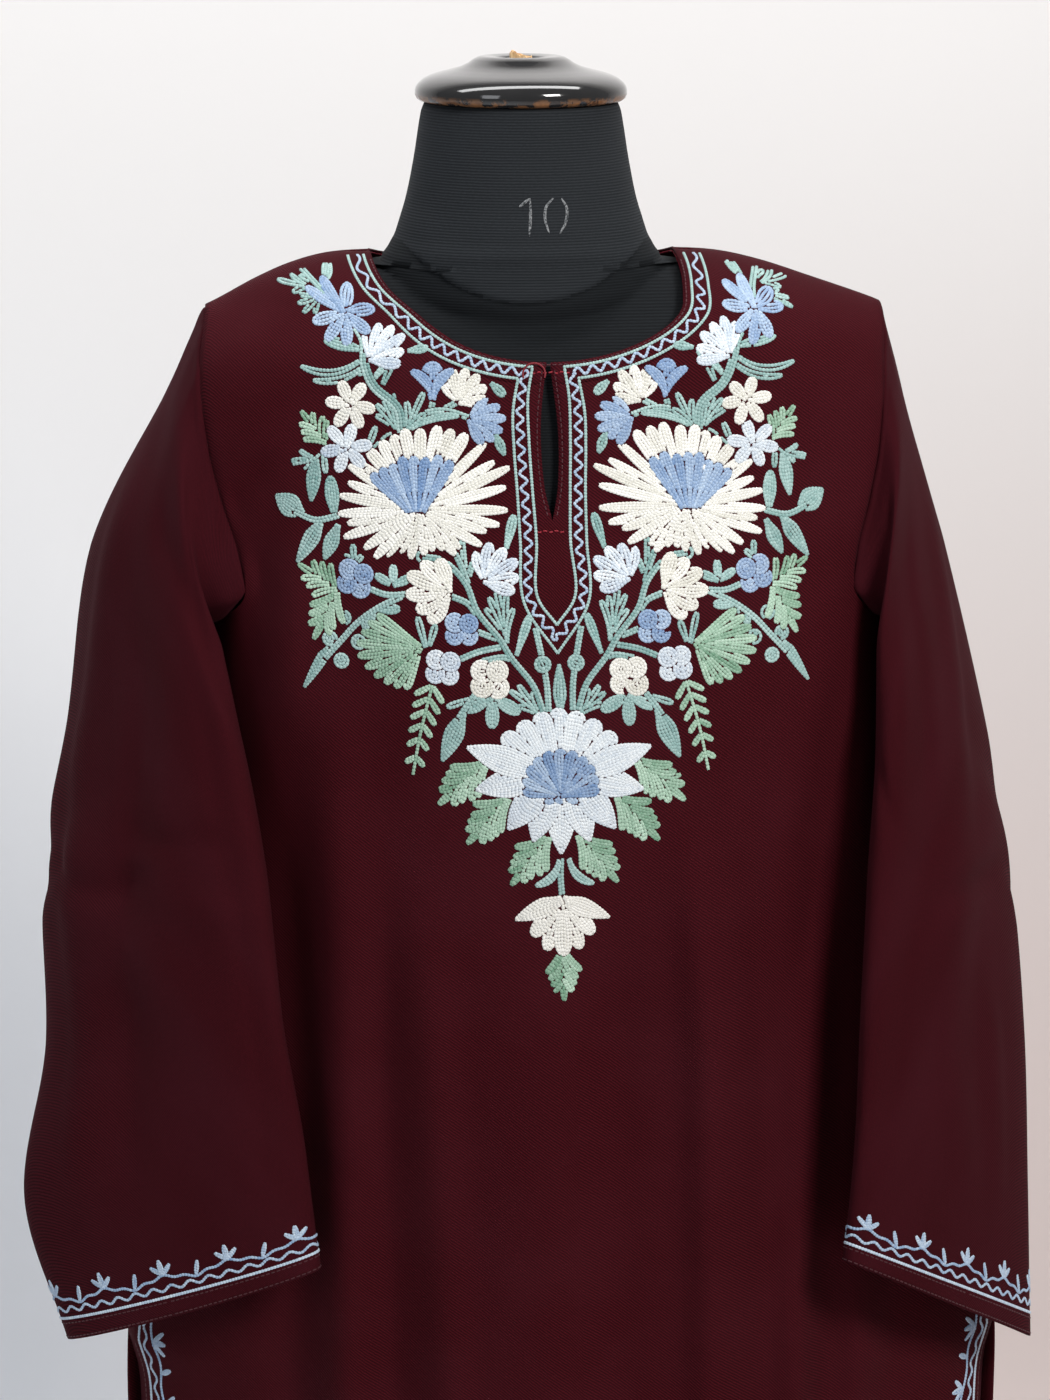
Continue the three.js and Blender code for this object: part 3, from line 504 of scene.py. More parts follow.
class Panel(Surface):
    """Front or back panel: u is the distance from the centre line and v the height, in mm."""

    body = Table(BODY)
    slits = Table(SLIT_EDGES)
    keyhole = Table(KEYHOLE)
    shoulder_table = Table(SHOULDER_LINE)

    def __init__(self, side: Side, creases: Sequence[Crease]) -> None:
        """Keeps the panel's side and its fine creases.

        Args:
            side: front or back.
            creases: fine creases over the main folds.
        """
        self.side = side
        self.creases = creases
        shares = np.linspace(0, 1, 181)
        route = catmull(np.array(ARMHOLE), shares, False)
        lengths = distance_along(np.array([self.plain_point(x, z) for x, z in route]))
        even = np.linspace(0, lengths[-1], ARMHOLE_SPOKES * SPOKE_STEPS + 1)
        self.armhole = read_along(even, lengths, route)

    def shoulder(self, x: Array) -> Array:
        """Height of the shoulder's ridge."""
        return self.shoulder_table.at(np.abs(x), 0)

    def half_width(self, z: Array) -> Array:
        """Half of the panel's width at a height."""
        return self.body.at(z, 0) - self.slits.at(z, 0 if self.side is Side.FRONT else 1)

    def plain_depth(self, x: Array, z: Array) -> Array:
        """Depth of the panel in mm with its main folds, as in the solids.

        Args:
            x: distance from the centre line.
            z: height.

        Returns:
            The distance from the side plane.
        """
        x, z = np.asarray(x, float), np.asarray(z, float)
        half = self.half_width(z)
        across = np.minimum(np.abs(x / half), 1)
        nape = blend(NAPE_ROUND, SHOULDER_ROUND, smooth(NAPE_EDGE, SHOULDER_EDGE, np.abs(x)))
        turn = SHOULDER_ROUND if self.side is Side.FRONT else nape
        up = 1 - np.clip(self.shoulder(x) - z, 0, turn) / turn
        power = self.body.at(z, 3)
        oval = np.maximum(1 - across**power, 0) ** (1 / power)
        depth = self.body.at(z, 1 if self.side is Side.FRONT else 2) * oval * np.sqrt(1 - up * up)
        down = np.maximum((SIDE_SLIT_Z - z) / (SIDE_SLIT_Z - HEM_Z), 0)
        folds = np.zeros(np.shape(depth))
        for start, full, top, foot, width, rise in FOLDS[self.side]:
            place = blend(top, foot, smooth(start, full - FOLD_DRIFT, z))
            gap = (x / half - place) * half / width
            folds = folds + rise * smooth(start, full, z) * np.exp(-gap * gap)
        return depth + SLIT_OPEN_AT_HEM * down**0.8 / 2 + folds * (1 - across**6)

    def plain_point(self, x: Array, z: Array) -> Array:
        """Points of the panel without its fine creases."""
        x, z = np.broadcast_arrays(np.asarray(x, float), np.asarray(z, float))
        depth = self.side.value * self.plain_depth(x, z)
        return np.stack([x + self.body.at(z, 4), depth, z], -1)

    def cloth_uv(self, x: Array, z: Array) -> Array:
        """UV in metres, measured along the cloth across and up from the underarm."""
        xs, zs = np.linspace(0, 300, 151), np.linspace(HEM_Z, 1401, 365)
        grid_x, grid_z = np.meshgrid(xs, zs, indexing="ij")
        depth = self.plain_depth(grid_x, grid_z)
        slope_x = np.clip(np.gradient(depth, xs, axis=0), -2.5, 2.5)
        slope_z = np.clip(np.gradient(depth, zs, axis=1), -4, 4)
        across = np.cumsum(np.hypot(1, slope_x), axis=0) * (xs[1] - xs[0])
        up = np.cumsum(np.hypot(1, slope_z), axis=1) * (zs[1] - zs[0])
        i = np.clip(np.abs(x) / (xs[1] - xs[0]), 0, len(xs) - 1.001)
        j = np.clip((z - HEM_Z) / (zs[1] - zs[0]), 0, len(zs) - 1.001)
        a, b, s, t = i.astype(int), j.astype(int), i % 1, j % 1

        def read(table: Array) -> Array:
            """Reads a table between its places."""
            low = blend(table[a, b], table[a + 1, b], s)
            return blend(low, blend(table[a, b + 1], table[a + 1, b + 1], s), t)

        return np.stack([np.sign(x) * read(across), read(up)], -1) * MM

    def armhole_edge(self, z: Array) -> Array:
        """Distance of the armhole from the centre line at a height."""
        order = np.argsort(self.armhole[:, 1])
        return np.interp(z, self.armhole[order, 1], self.armhole[order, 0])

    def detail(self, x: Array, z: Array) -> Array:
        """Height in mm of creases, sunken seams and the thick hem over the plain surface."""
        rise = sum(crease.height(x, z) for crease in self.creases)
        edge = np.where(z > UNDERARM_Z, self.armhole_edge(z), self.half_width(z))
        from_edge = edge - np.abs(x)
        held = np.where(z > SIDE_SLIT_Z, smooth(0, 9, from_edge), smooth(-2, 4, from_edge))
        seam = np.where(z > UNDERARM_Z, smooth(1208, 1262, z), 1.0) * (z > SIDE_SLIT_Z)
        ditch = PANEL_SEAM.sunk(from_edge) * seam
        welt = PANEL_SEAM.raised(from_edge) * (z > UNDERARM_Z) * seam
        height, start, end = HEM_TURN
        hem = height * smooth(HEM_Z + start, HEM_Z + end, z)
        on_shoulder = smooth(0, 12, self.shoulder(x) - z)
        return rise * held * on_shoulder + ditch * on_shoulder + welt * on_shoulder + hem

    def point(self, u: Array, v: Array) -> Array:
        """Points in mm at distances u from the centre line and heights v."""
        u, v = np.broadcast_arrays(np.asarray(u, float), np.asarray(v, float))
        points = self.plain_point(u, v)
        points[..., 1] += self.side.value * self.detail(u, v)
        return points

    def outward(self, u: Array, v: Array) -> Array:
        """Outward normals at places on the panel."""
        return -self.side.value * self.normal(u, v, 0.6, 0.6)

    def neckline(self, x: Array, drop: float, half: float) -> Array:
        """Height of a round neckline of a drop and a half-width at distances x."""
        share = np.minimum(np.abs(x) / half, 1)
        return self.shoulder(x) - drop * np.sqrt(1 - share * share)

    def tops(self, count: int) -> Array:
        """Distances from the centre of `count + 1` columns spaced evenly round half the neckline."""
        turns = np.linspace(0, math.pi / 2, 401)
        x = NECK_HALF_WIDTH * np.sin(turns)
        z = self.neckline(x, NECK_DROP[self.side], NECK_HALF_WIDTH)
        lengths = distance_along(self.plain_point(x, z))
        return np.interp(np.linspace(0, lengths[-1], count + 1), lengths, x)

    def yoke_column(self, column: float, start: Array, rows: int) -> Array:
        """Places down one column from the facing's edge or the shoulder to the underarm's level.

        Args:
            column: share of the half panel, 0 at the centre and 1 at the armhole.
            start: x and z where the column starts.
            rows: number of even steps along the cloth.

        Returns:
            Rows of x and z.
        """
        if column >= 1:
            index = np.linspace(0, len(self.armhole) - 1, rows + 1)
            whole = np.arange(len(self.armhole))
            return read_along(index, whole, self.armhole)
        lean = math.pi / 4 * min(column / NECK_SHARE, (1 - column) / (1 - NECK_SHARE))
        reach = COLUMN_REACH[self.side]
        turn = start + reach * np.array([math.sin(lean), -math.cos(lean)])
        foot = np.array([column * SHOULDER_HALF_WIDTH, UNDERARM_Z])
        share = np.linspace(0, 1, 161)[:, None] ** 2
        place = start * (1 - share) ** 2 + 2 * turn * share * (1 - share) + foot * share**2
        place[:, 0] *= self.armhole_edge(place[:, 1]) / SHOULDER_HALF_WIDTH
        lengths = distance_along(self.plain_point(place[:, 0], place[:, 1]))
        even = np.linspace(0, lengths[-1], rows + 1)
        return read_along(even, lengths, place)


class Sleeve(Surface):
    """A sleeve: u is the turn round it and v the way along it, 0 at the armhole and 1 at the cuff."""

    def __init__(
        self,
        rings: Sequence[Sequence[Sequence[float]]],
        folds: Sequence[Sequence[float]],
        creases: Sequence[Crease],
        mirror: int,
        front: Panel,
        back: Panel,
    ) -> None:
        """Joins the sleeve's rings to the armhole of the two panels.

        Args:
            rings: middle and the two half-axes of each ring.
            folds: main creases, as in the solids.
            creases: fine creases, in mm round and down the sleeve.
            mirror: 1 for the wearer's left sleeve, -1 for the right.
            front: the front panel.
            back: the back panel.
        """
        self.rings = [np.array([ring[k] for ring in rings], float) for k in range(3)]
        self.folds, self.creases, self.mirror = folds, creases, mirror
        turns, edge = [], []
        for i in range(ARMHOLE_SPOKES + 1):
            turns.append(math.pi * i / ARMHOLE_SPOKES)
            at = front.armhole[SPOKE_STEPS * i]
            edge.append(front.plain_point(mirror * at[0], at[1]))
        for i in range(1, ARMHOLE_SPOKES):
            turns.append(math.pi * (1 + i / ARMHOLE_SPOKES))
            at = back.armhole[SPOKE_STEPS * (ARMHOLE_SPOKES - i)]
            edge.append(back.plain_point(mirror * at[0], at[1]))
        turns.append(2 * math.pi)
        edge.append(edge[0])
        self.turns, self.edge = np.array(turns), np.array(edge)
        spans = distance_along(np.array([self.ring_point(0.0, v)[0] for v in np.linspace(0, 1, 200)]))
        self.length = spans[-1]

    def ring_point(self, u: Array | float, v: Array | float) -> Array:
        """Points of the plain rings, without what joins them to the armhole."""
        u, v = np.atleast_1d(np.asarray(u, float)), np.atleast_1d(np.asarray(v, float))
        middle, up, fore = (catmull(rows, v, True) for rows in self.rings)
        out = up * np.cos(u)[:, None] + fore * np.sin(u)[:, None]
        rise = np.zeros(len(u))
        for along, turn, slant, length, width, height in self.folds:
            gap = np.arctan2(np.sin(u - turn), np.cos(u - turn))
            across = (v - along - slant * gap) / width
            rise += height * np.exp(-across * across - (gap / length) ** 2)
        return middle + out + unit(out) * (rise * smooth(0, 0.15, v))[:, None]

    def point(self, u: Array, v: Array) -> Array:
        """Points in mm at turns u and ways along v."""
        u, v = np.broadcast_arrays(np.asarray(u, float), np.asarray(v, float))
        shape, u, v = u.shape, u.ravel(), v.ravel()
        held = 1 - smooth(0, 0.2, v)
        turn = np.mod(u, 2 * math.pi)
        edge = read_along(turn, self.turns, self.edge)
        points = self.ring_point(u, v) + (edge - self.ring_point(u, 0 * v)) * held[:, None]
        out = unit(points - catmull(self.rings[0], v, True))
        out[:, 2] *= 0.3
        rise = self.detail(turn, v)
        return (points + unit(out) * rise[:, None]).reshape(*shape, 3)

    def detail(self, turn: Array, v: Array) -> Array:
        """Height in mm of fine creases, the sunken armhole seam and the turned cuff."""
        around = np.arctan2(np.sin(turn), np.cos(turn)) * SLEEVE_RADIUS
        from_seam = v * SLEEVE_LENGTH
        rise = sum(crease.height(around, from_seam) for crease in self.creases)
        seam = smooth(-0.8, 0.1, np.cos(turn))
        ditch = SLEEVE_SEAM.sunk(from_seam) * seam
        puff = SLEEVE_SEAM.raised(from_seam) * seam
        height, start, end = CUFF_TURN
        cuff = height * smooth(SLEEVE_LENGTH - start, SLEEVE_LENGTH - end, from_seam)
        return rise * smooth(4, 26, from_seam) + ditch + puff + cuff

    def outward(self, u: Array, v: Array) -> Array:
        """Outward normals at places on the sleeve."""
        return self.mirror * self.normal(u, v, 0.01, 0.001)


# Fine creases of the sleeves: mm round from the outer edge over the front, and mm down
LEFT_CREASES = [
    Crease(((-20, 110), (-14, 160), (5, 232), (15, 332), (21, 448), (-4, 560)), 12, 4.0, 0.2),
    Crease(((46, 110), (49, 172), (50, 328), (64, 452), (70, 560)), 14, -4.4, 0.2),
    Crease(((-8, 390), (-16, 450), (-24, 560)), 9, 2.6),
    Crease(((44, 372), (24, 362), (-8, 352), (-58, 342)), 8, -3.6),
    Crease(((40, 30), (52, 120), (60, 230), (64, 330)), 13, 2.6),
    Crease(((86, 40), (92, 110), (98, 190)), 9, -3.0),
    Crease(((20, 90), (30, 200), (28, 320), (18, 470)), 12, 2.4),
    Crease(((120, 250), (90, 300), (60, 330)), 9, -2.6),
    Crease(((10, 300), (40, 330), (84, 372)), 10, -2.4),
    Crease(((60, 400), (84, 470), (92, 560)), 14, 1.8),
    Crease(((20, 420), (44, 500), (50, 580)), 11, -1.8),
    Crease(((-60, 60), (-70, 200), (-64, 360)), 15, 2.6),
    Crease(((-110, 120), (-120, 250), (-110, 420)), 14, -2.8),
    Crease(((-30, 330), (-70, 360), (-120, 372)), 10, -3.2),
]
RIGHT_CREASES = [
    Crease(((10, 110), (4, 170), (-25, 268), (-27, 382), (-28, 560)), 12, 4.0, 0.2),
    Crease(((48, 100), (42, 150), (25, 266), (1, 382), (-10, 560)), 14, -4.2, 0.2),
    Crease(((-56, 330), (-30, 350), (-9, 356), (34, 342)), 8, -4.0),
    Crease(((66, 190), (69, 236), (70, 326), (74, 414), (60, 570)), 12, -3.6, 0.2),
    Crease(((30, 40), (36, 150), (34, 260), (24, 340)), 11, 2.8),
    Crease(((70, 30), (84, 130), (90, 240)), 12, -3.0),
    Crease(((110, 60), (118, 160), (112, 260)), 11, 2.2),
    Crease(((0, 318), (34, 330), (80, 318)), 10, -3.2),
    Crease(((6, 344), (50, 366), (110, 372)), 11, 2.2),
    Crease(((24, 380), (40, 470), (44, 580)), 12, 2.2),
    Crease(((70, 400), (84, 480), (80, 580)), 15, -2.4),
    Crease(((-50, 80), (-64, 220), (-58, 400)), 15, 2.4),
    Crease(((-104, 100), (-116, 240), (-104, 400)), 14, -2.8),
    Crease(((-20, 322), (-60, 350), (-110, 352)), 10, -3.4),
]


# ---------------------------------------------------------------- materials

Colour = tuple[float, float, float, float]
Socket = bpy.types.NodeSocket


def linear(hex_colour: str) -> Colour:
    """Turns an sRGB hex colour into opaque linear RGBA."""
    parts = [int(hex_colour[i : i + 2], 16) / 255 for i in (0, 2, 4)]
    red, green, blue = (p / 12.92 if p <= 0.04045 else ((p + 0.055) / 1.055) ** 2.4 for p in parts)
    return (red, green, blue, 1.0)


def grey(level: float) -> Colour:
    """Opaque linear grey."""
    return (level, level, level, 1.0)


class NodeTree:
    """The node tree of a material while it is built."""

    def __init__(self, name: str) -> None:
        """Starts a material of that name with a Principled shader."""
        self.material = bpy.data.materials.new(name)
        self.material.use_nodes = True
        self.tree = self.material.node_tree
        self.shader = self.tree.nodes["Principled BSDF"]

    def put(self, node: bpy.types.Node, inputs: dict) -> None:
        """Sets a node's inputs to values, or links them to the outputs of other nodes.

        Args:
            node: the node.
            inputs: input name or number to a value or an output socket.
        """
        for key, value in inputs.items():
            if isinstance(value, Socket):
                self.tree.links.new(value, node.inputs[key])
            else:
                node.inputs[key].default_value = value

    def add(self, kind: str, inputs: dict | None = None, **settings: object) -> bpy.types.Node:
        """Adds a node with its settings and inputs.

        Args:
            kind: short name of the node's type, such as TexNoise.
            inputs: as for put.
            settings: attributes of the node.

        Returns:
            The new node.
        """
        node = self.tree.nodes.new("ShaderNode" + kind)
        for key, value in settings.items():
            setattr(node, key, value)
        self.put(node, inputs or {})
        return node

    def noise(self, at: Socket, scale: float, detail: float, rough: float = 0.5) -> Socket:
        """Grey of a noise texture at coordinates."""
        inputs = {"Vector": at, "Scale": scale, "Detail": detail, "Roughness": rough}
        return self.add("TexNoise", inputs).outputs["Fac"]

    def ribs(self, at: Socket, pitch: float, distortion: float, detail_scale: float) -> Socket:
        """Grey of ribs across the second axis, of a pitch in mm."""
        inputs = {"Vector": at, "Scale": 0.314 / (pitch * MM), "Distortion": distortion,
                  "Detail": 1.0, "Detail Scale": detail_scale}
        return self.add("TexWave", inputs, bands_direction="Y").outputs["Fac"]

    def stretch(self, at: Socket, scale: tuple[float, float, float]) -> Socket:
        """Coordinates scaled on each axis."""
        return self.add("Mapping", {"Vector": at, "Scale": scale}).outputs[0]

    def ramp(self, value: Socket, low: float, first: Colour, high: float, second: Colour) -> Socket:
        """Colour that goes from first where a value is low to second where it is high."""
        node = self.add("ValToRGB", {"Fac": value})
        for element, place, colour in zip(node.color_ramp.elements, (low, high), (first, second)):
            element.position, element.color = place, colour
        return node.outputs["Color"]

    def mix(self, share: object, first: object, second: object, kind: str = "MIX") -> Socket:
        """Mixes two colours or sockets by a share from 0 to 1."""
        inputs = {0: share, 6: first, 7: second}
        return self.add("Mix", inputs, data_type="RGBA", blend_type=kind).outputs[2]

    def math(self, operation: str, *values: object) -> Socket:
        """Works out one sum of values or sockets."""
        return self.add("Math", dict(enumerate(values)), operation=operation).outputs[0]

    def finish(
        self, colour: object, rough: object, height: Socket, strength: float, depth: float, **others: object
    ) -> bpy.types.Material:
        """Sets the shader.

        Args:
            colour: base colour.
            rough: roughness.
            height: grey that the bump raises.
            strength: strength of the bump.
            depth: depth of the bump in mm.
            others: further inputs of the shader, with _ for each space of their names.

        Returns:
            The finished material.
        """
        bump = self.add("Bump", {"Height": height, "Strength": strength, "Distance": depth * MM})
        inputs = {"Base Color": colour, "Roughness": rough, "Normal": bump.outputs[0]}
        named = {name.replace("_", " "): value for name, value in others.items()}
        self.put(self.shader, inputs | named)
        return self.material


@dataclass(frozen=True)
class Wool:
    """Fine woollen twill: diagonal ribs, fibre mottle and a soft nap.

    Attributes:
        name: name of the material.
        dark: sRGB colour between the ribs.
        light: sRGB colour on the ribs.
        worn: sRGB colour where the cloth looks dusty.
        twill_mm: pitch of the ribs; the real one is near 0.9 mm, coarsened to be seen.
    """

    name: str
    dark: str
    light: str
    worn: str
    twill_mm: float = 1.5

    def make(self) -> bpy.types.Material:
        """Builds the material."""
        t = NodeTree(self.name)
        uv = t.add("TexCoord").outputs["UV"]
        turned = t.add("Mapping", {"Vector": uv, "Rotation": (0, 0, math.radians(38))})
        rib = t.ribs(turned.outputs[0], self.twill_mm, 1.1, 1.5)
        fibre = t.noise(uv, 900.0, 3.0, 0.7)
        cloud = t.noise(uv, 9.0, 3.0, 0.55)
        streak = t.noise(t.stretch(uv, (260.0, 30.0, 1.0)), 1.0, 2.0)
        ribbed = t.mix(rib, linear(self.dark), linear(self.light))
        mottled = t.mix(1.0, ribbed, t.ramp(fibre, 0.3, grey(0.72), 0.72, grey(1.22)), "MULTIPLY")
        dusty = t.math("MULTIPLY", t.ramp(cloud, 0.4, grey(0), 0.8, grey(1)), 0.3)
        colour = t.mix(dusty, mottled, linear(self.worn))
        height = t.math("ADD", t.math("MULTIPLY", rib, 0.8), t.math("MULTIPLY", fibre, 0.7))
        height = t.math("ADD", height, t.math("MULTIPLY", streak, 0.5))
        return t.finish(colour, 0.88, height, 0.42, 0.5, Sheen_Weight=0.045, Sheen_Roughness=0.4,
                        Sheen_Tint=linear("A05468"), Specular_IOR_Level=0.08)


@dataclass(frozen=True)
class Silk:
    """Plied embroidery silk with a soft gloss, whose shade changes from stitch to stitch.

    Attributes:
        name: name of the material.
        dark: sRGB colour of its deepest stitches.
        light: sRGB colour of its palest stitches.
    """

    name: str
    dark: str
    light: str

    def make(self) -> bpy.types.Material:
        """Builds the material."""
        t = NodeTree(self.name)
        tone = t.add("Attribute", attribute_name="tone").outputs["Fac"]
        ply = t.noise(t.add("TexCoord").outputs["Object"], 2600.0, 1.0)
        shade = t.mix(tone, linear(self.dark), linear(self.light))
        colour = t.mix(1.0, shade, t.ramp(ply, 0.3, grey(0.78), 0.65, grey(1.08)), "MULTIPLY")
        return t.finish(colour, 0.5, ply, 0.3, 0.2, Sheen_Weight=0.12, Sheen_Roughness=0.4,
                        Specular_IOR_Level=0.4)


@dataclass(frozen=True)
class Jersey:
    """Black knitted jersey, faded grey, with fine level ribs, lint and a dull nap.

    Attributes:
        name: name of the material.
        dark: sRGB colour of the grooves.
        light: sRGB colour of the ribs.
        faded: sRGB colour of the worn patches.
        rib_mm: pitch of the ribs; the real one is near 1 mm, coarsened to be seen.
    """

    name: str = "black_jersey"
    dark: str = "14171A"
    light: str = "2A2D30"
    faded: str = "34373B"
    rib_mm: float = 1.6

    def make(self) -> bpy.types.Material:
        """Builds the material."""
        t = NodeTree(self.name)
        uv = t.add("TexCoord").outputs["UV"]
        rib = t.ribs(uv, self.rib_mm, 0.6, 1.0)
        fibre = t.noise(uv, 800.0, 3.0)
        cloud = t.noise(uv, 14.0, 3.0)
        ribbed = t.mix(rib, linear(self.dark), linear(self.light))
        mottled = t.mix(1.0, ribbed, t.ramp(fibre, 0.35, grey(0.8), 0.8, grey(1.35)), "MULTIPLY")
        colour = t.mix(t.math("MULTIPLY", cloud, 0.4), mottled, linear(self.faded))
        height = t.math("ADD", rib, t.math("MULTIPLY", fibre, 0.6))
        return t.finish(colour, 0.86, height, 0.35, 0.4, Sheen_Weight=0.08, Sheen_Roughness=0.5,
                        Sheen_Tint=linear("8A9096"), Specular_IOR_Level=0.14)


@dataclass(frozen=True)
class Lacquer:
    """Deep black lacquer over turned wood, dusty, worn through to the wood at the lower rim."""

    name: str = "worn_black_lacquer"
    black: str = "0E0E10"
    worn: str = "9A6A3C"
    rim_mm: float = 1488.5

    def make(self) -> bpy.types.Material:
        """Builds the material."""
        t = NodeTree(self.name)
        at = t.add("TexCoord").outputs["Object"]
        split = t.add("SeparateXYZ", {0: at})
        low = t.add("MapRange", {"Value": split.outputs["Z"], "From Min": (self.rim_mm + 2.4) * MM,
                                 "From Max": (self.rim_mm - 0.8) * MM})
        chips = t.noise(at, 70.0, 4.0, 0.65)
        bare = t.math("MULTIPLY", low.outputs[0], t.ramp(chips, 0.45, grey(0), 0.53, grey(1)))
        wood = t.mix(t.noise(at, 400.0, 3.0), linear("5A3418"), linear(self.worn))
        dust = t.noise(at, 22.0, 5.0)
        coat = t.mix(t.math("MULTIPLY", dust, 0.05), linear(self.black), linear("B8B4AE"))
        rough = t.mix(bare, grey(0.1), grey(0.6))
        colour = t.mix(bare, coat, wood)
        return t.finish(colour, rough, dust, 0.12, 0.6, Coat_Weight=0.5, Coat_Roughness=0.05)


@dataclass(frozen=True)
class RawWood:
    """Broken, unfinished wood with dark and pale fibres along its grain."""

    name: str = "broken_raw_wood"
    pale: str = "E3C394"
    dark: str = "A5713E"

    def make(self) -> bpy.types.Material:
        """Builds the material."""
        t = NodeTree(self.name)
        at = t.add("TexCoord").outputs["Object"]
        fibre = t.noise(t.stretch(at, (900.0, 900.0, 120.0)), 1.0, 4.0)
        colour = t.ramp(fibre, 0.35, linear(self.dark), 0.62, linear(self.pale))
        return t.finish(colour, 0.8, fibre, 0.8, 0.8)


@dataclass(frozen=True)
class Metal:
    """Satin steel tube or enamelled steel, with fine turning marks and smudges.

    Attributes:
        name: name of the material.
        colour: sRGB colour.
        metallic: 1 for bare metal.
        rough: mean roughness.
        brushed: stretch of the brush marks round the axis.
    """

    name: str
    colour: str
    metallic: float
    rough: float
    brushed: float

    def make(self) -> bpy.types.Material:
        """Builds the material."""
        t = NodeTree(self.name)
        at = t.add("TexCoord").outputs["Object"]
        fine = t.noise(t.stretch(at, (12.0, 12.0, self.brushed)), 1.0, 3.0)
        smudge = t.noise(at, 14.0, 4.0)
        colour = t.mix(t.math("MULTIPLY", smudge, 0.14), linear(self.colour), linear("DDDDDD"))
        rough = t.mix(fine, grey(self.rough - 0.08), grey(self.rough + 0.1))
        return t.finish(colour, rough, fine, 0.12, 0.2, Metallic=self.metallic)


@dataclass(frozen=True)
class Chalk:
    """Tailor's chalk, rubbed half into the jersey, so that it lies in powdery patches."""

    name: str = "tailors_chalk"
    chalk: str = "8E9092"
    under: str = "33373A"

    def make(self) -> bpy.types.Material:
        """Builds the material."""
        t = NodeTree(self.name)
        grain = t.noise(t.add("TexCoord").outputs["Object"], 900.0, 3.0)
        share = t.ramp(grain, 0.38, grey(0), 0.62, grey(1))
        colour = t.mix(share, linear(self.under), linear(self.chalk))
        return t.finish(colour, 0.95, grain, 0.3, 0.3, Specular_IOR_Level=0.1)


@dataclass(frozen=True)
class Wall:
    """Studio wall with fine plaster, its colour graded as painted light: a cool painted shade low at one
    side, a warm painted light low at the other, and a plain colour above.
    """

    name: str = "studio_wall"
    # The three colours of the wall are painted light and shade: cool shade low at the left, warm light low
    # at the right, the top colour above
    painted_cool_shade: str = "EEF1F5"
    painted_warm_light: str = "DCD0CD"
    high: str = "E0DEDD"

    def make(self) -> bpy.types.Material:
        """Builds the material."""
        t = NodeTree(self.name)
        at = t.add("TexCoord").outputs["Object"]
        split = t.add("SeparateXYZ", {0: at})
        up, right = (
            t.add("MapRange", {"Value": split.outputs[axis], "From Min": start, "From Max": end},
                  interpolation_type="SMOOTHSTEP").outputs[0]
            for axis, start, end in (("Z", 0.5, 1.5), ("X", -0.45, 0.45))
        )
        # painted light and shade: mixes the cool and warm lower colours across and the top colour upwards
        colour = t.mix(up, t.mix(right, linear(self.painted_cool_shade), linear(self.painted_warm_light)), linear(self.high))
        return t.finish(colour, 0.95, t.noise(at, 120.0, 3.0), 0.05, 1.0)


# ---------------------------------------------------------------- making meshes


def add_piece(name: str, data: bpy.types.ID, material: bpy.types.Material) -> bpy.types.Object:
    """Puts a mesh or curve in the scene as a piece at the origin, with its material."""
    data.materials.append(material)
    piece = bpy.data.objects.new(name, data)
    bpy.context.scene.collection.objects.link(piece)
    LOG.info("made %s", name)
    return piece


def mesh_object(
    name: str, bm: bmesh.types.BMesh, material: bpy.types.Material, smooth_faces: bool = True
) -> bpy.types.Object:
    """Turns a bmesh into a piece.

    Args:
        name: name of the piece.
        bm: its mesh in metres, which is freed.
        material: its finish.
        smooth_faces: whether the faces are shaded smooth.

    Returns:
        The new object, in the scene.
    """
    for face in bm.faces:
        face.smooth = smooth_faces
    data = bpy.data.meshes.new(name)
    bm.to_mesh(data)
    bm.free()
    return add_piece(name, data, material)


def array_object(
    name: str, points: Array, faces: Array, material: bpy.types.Material, tone: Array
) -> bpy.types.Object:
    """Makes a piece from arrays, for many small joined shapes.

    Args:
        name: name of the piece.
        points: vertices in metres.
        faces: triples of vertex numbers.
        material: its finish.
        tone: a shade from 0 to 1 for each vertex.

    Returns:
        The new object, in the scene.
    """
    data = bpy.data.meshes.new(name)
    data.vertices.add(len(points))
    data.vertices.foreach_set("co", points.astype(np.float32).ravel())
    data.loops.add(faces.size)
    data.loops.foreach_set("vertex_index", faces.astype(np.int32).ravel())
    data.polygons.add(len(faces))
    data.polygons.foreach_set("loop_start", np.arange(0, faces.size, 3, dtype=np.int32))
    data.polygons.foreach_set("use_smooth", np.ones(len(faces), bool))
    data.update(calc_edges=True)
    shade = data.attributes.new("tone", "FLOAT", "POINT")
    shade.data.foreach_set("value", tone.astype(np.float32))
    return add_piece(name, data, material)


def add_grid(bm: bmesh.types.BMesh, points: Array, uvs: Array, flip: bool) -> None:
    """Adds a grid of faces through rows of points.

    Args:
        bm: mesh to add to.
        points: points in metres, by column and row.
        uvs: UV of each point in metres.
        flip: whether the faces turn over.
    """
    columns, rows = points.shape[:2]
    made = bmesh.ops.create_grid(bm, x_segments=columns - 1, y_segments=rows - 1, size=0.5)
    verts = sorted(made["verts"], key=lambda vert: (round(vert.co.x, 6), round(vert.co.y, 6)))
    layer = bm.loops.layers.uv.verify()
    where = {}
    for vert, point, uv in zip(verts, points.reshape(-1, 3), uvs.reshape(-1, 2)):
        vert.co = Vector(point)
        where[vert] = uv
    faces = {face for vert in verts for face in vert.link_faces}
    for face in faces:
        for loop in face.loops:
            loop[layer].uv = where[loop.vert]
    if flip:
        bmesh.ops.reverse_faces(bm, faces=list(faces))


def sheet_uv(points: Array) -> Array:
    """UV in metres of a grid of points, measured across and down it."""
    across = np.linalg.norm(np.diff(points, axis=0), axis=-1)
    down = np.linalg.norm(np.diff(points, axis=1), axis=-1)
    u = np.vstack([np.zeros(points.shape[1]), np.cumsum(across, axis=0)])
    v = np.hstack([np.zeros((points.shape[0], 1)), np.cumsum(down, axis=1)])
    return np.stack([u, -v], -1)


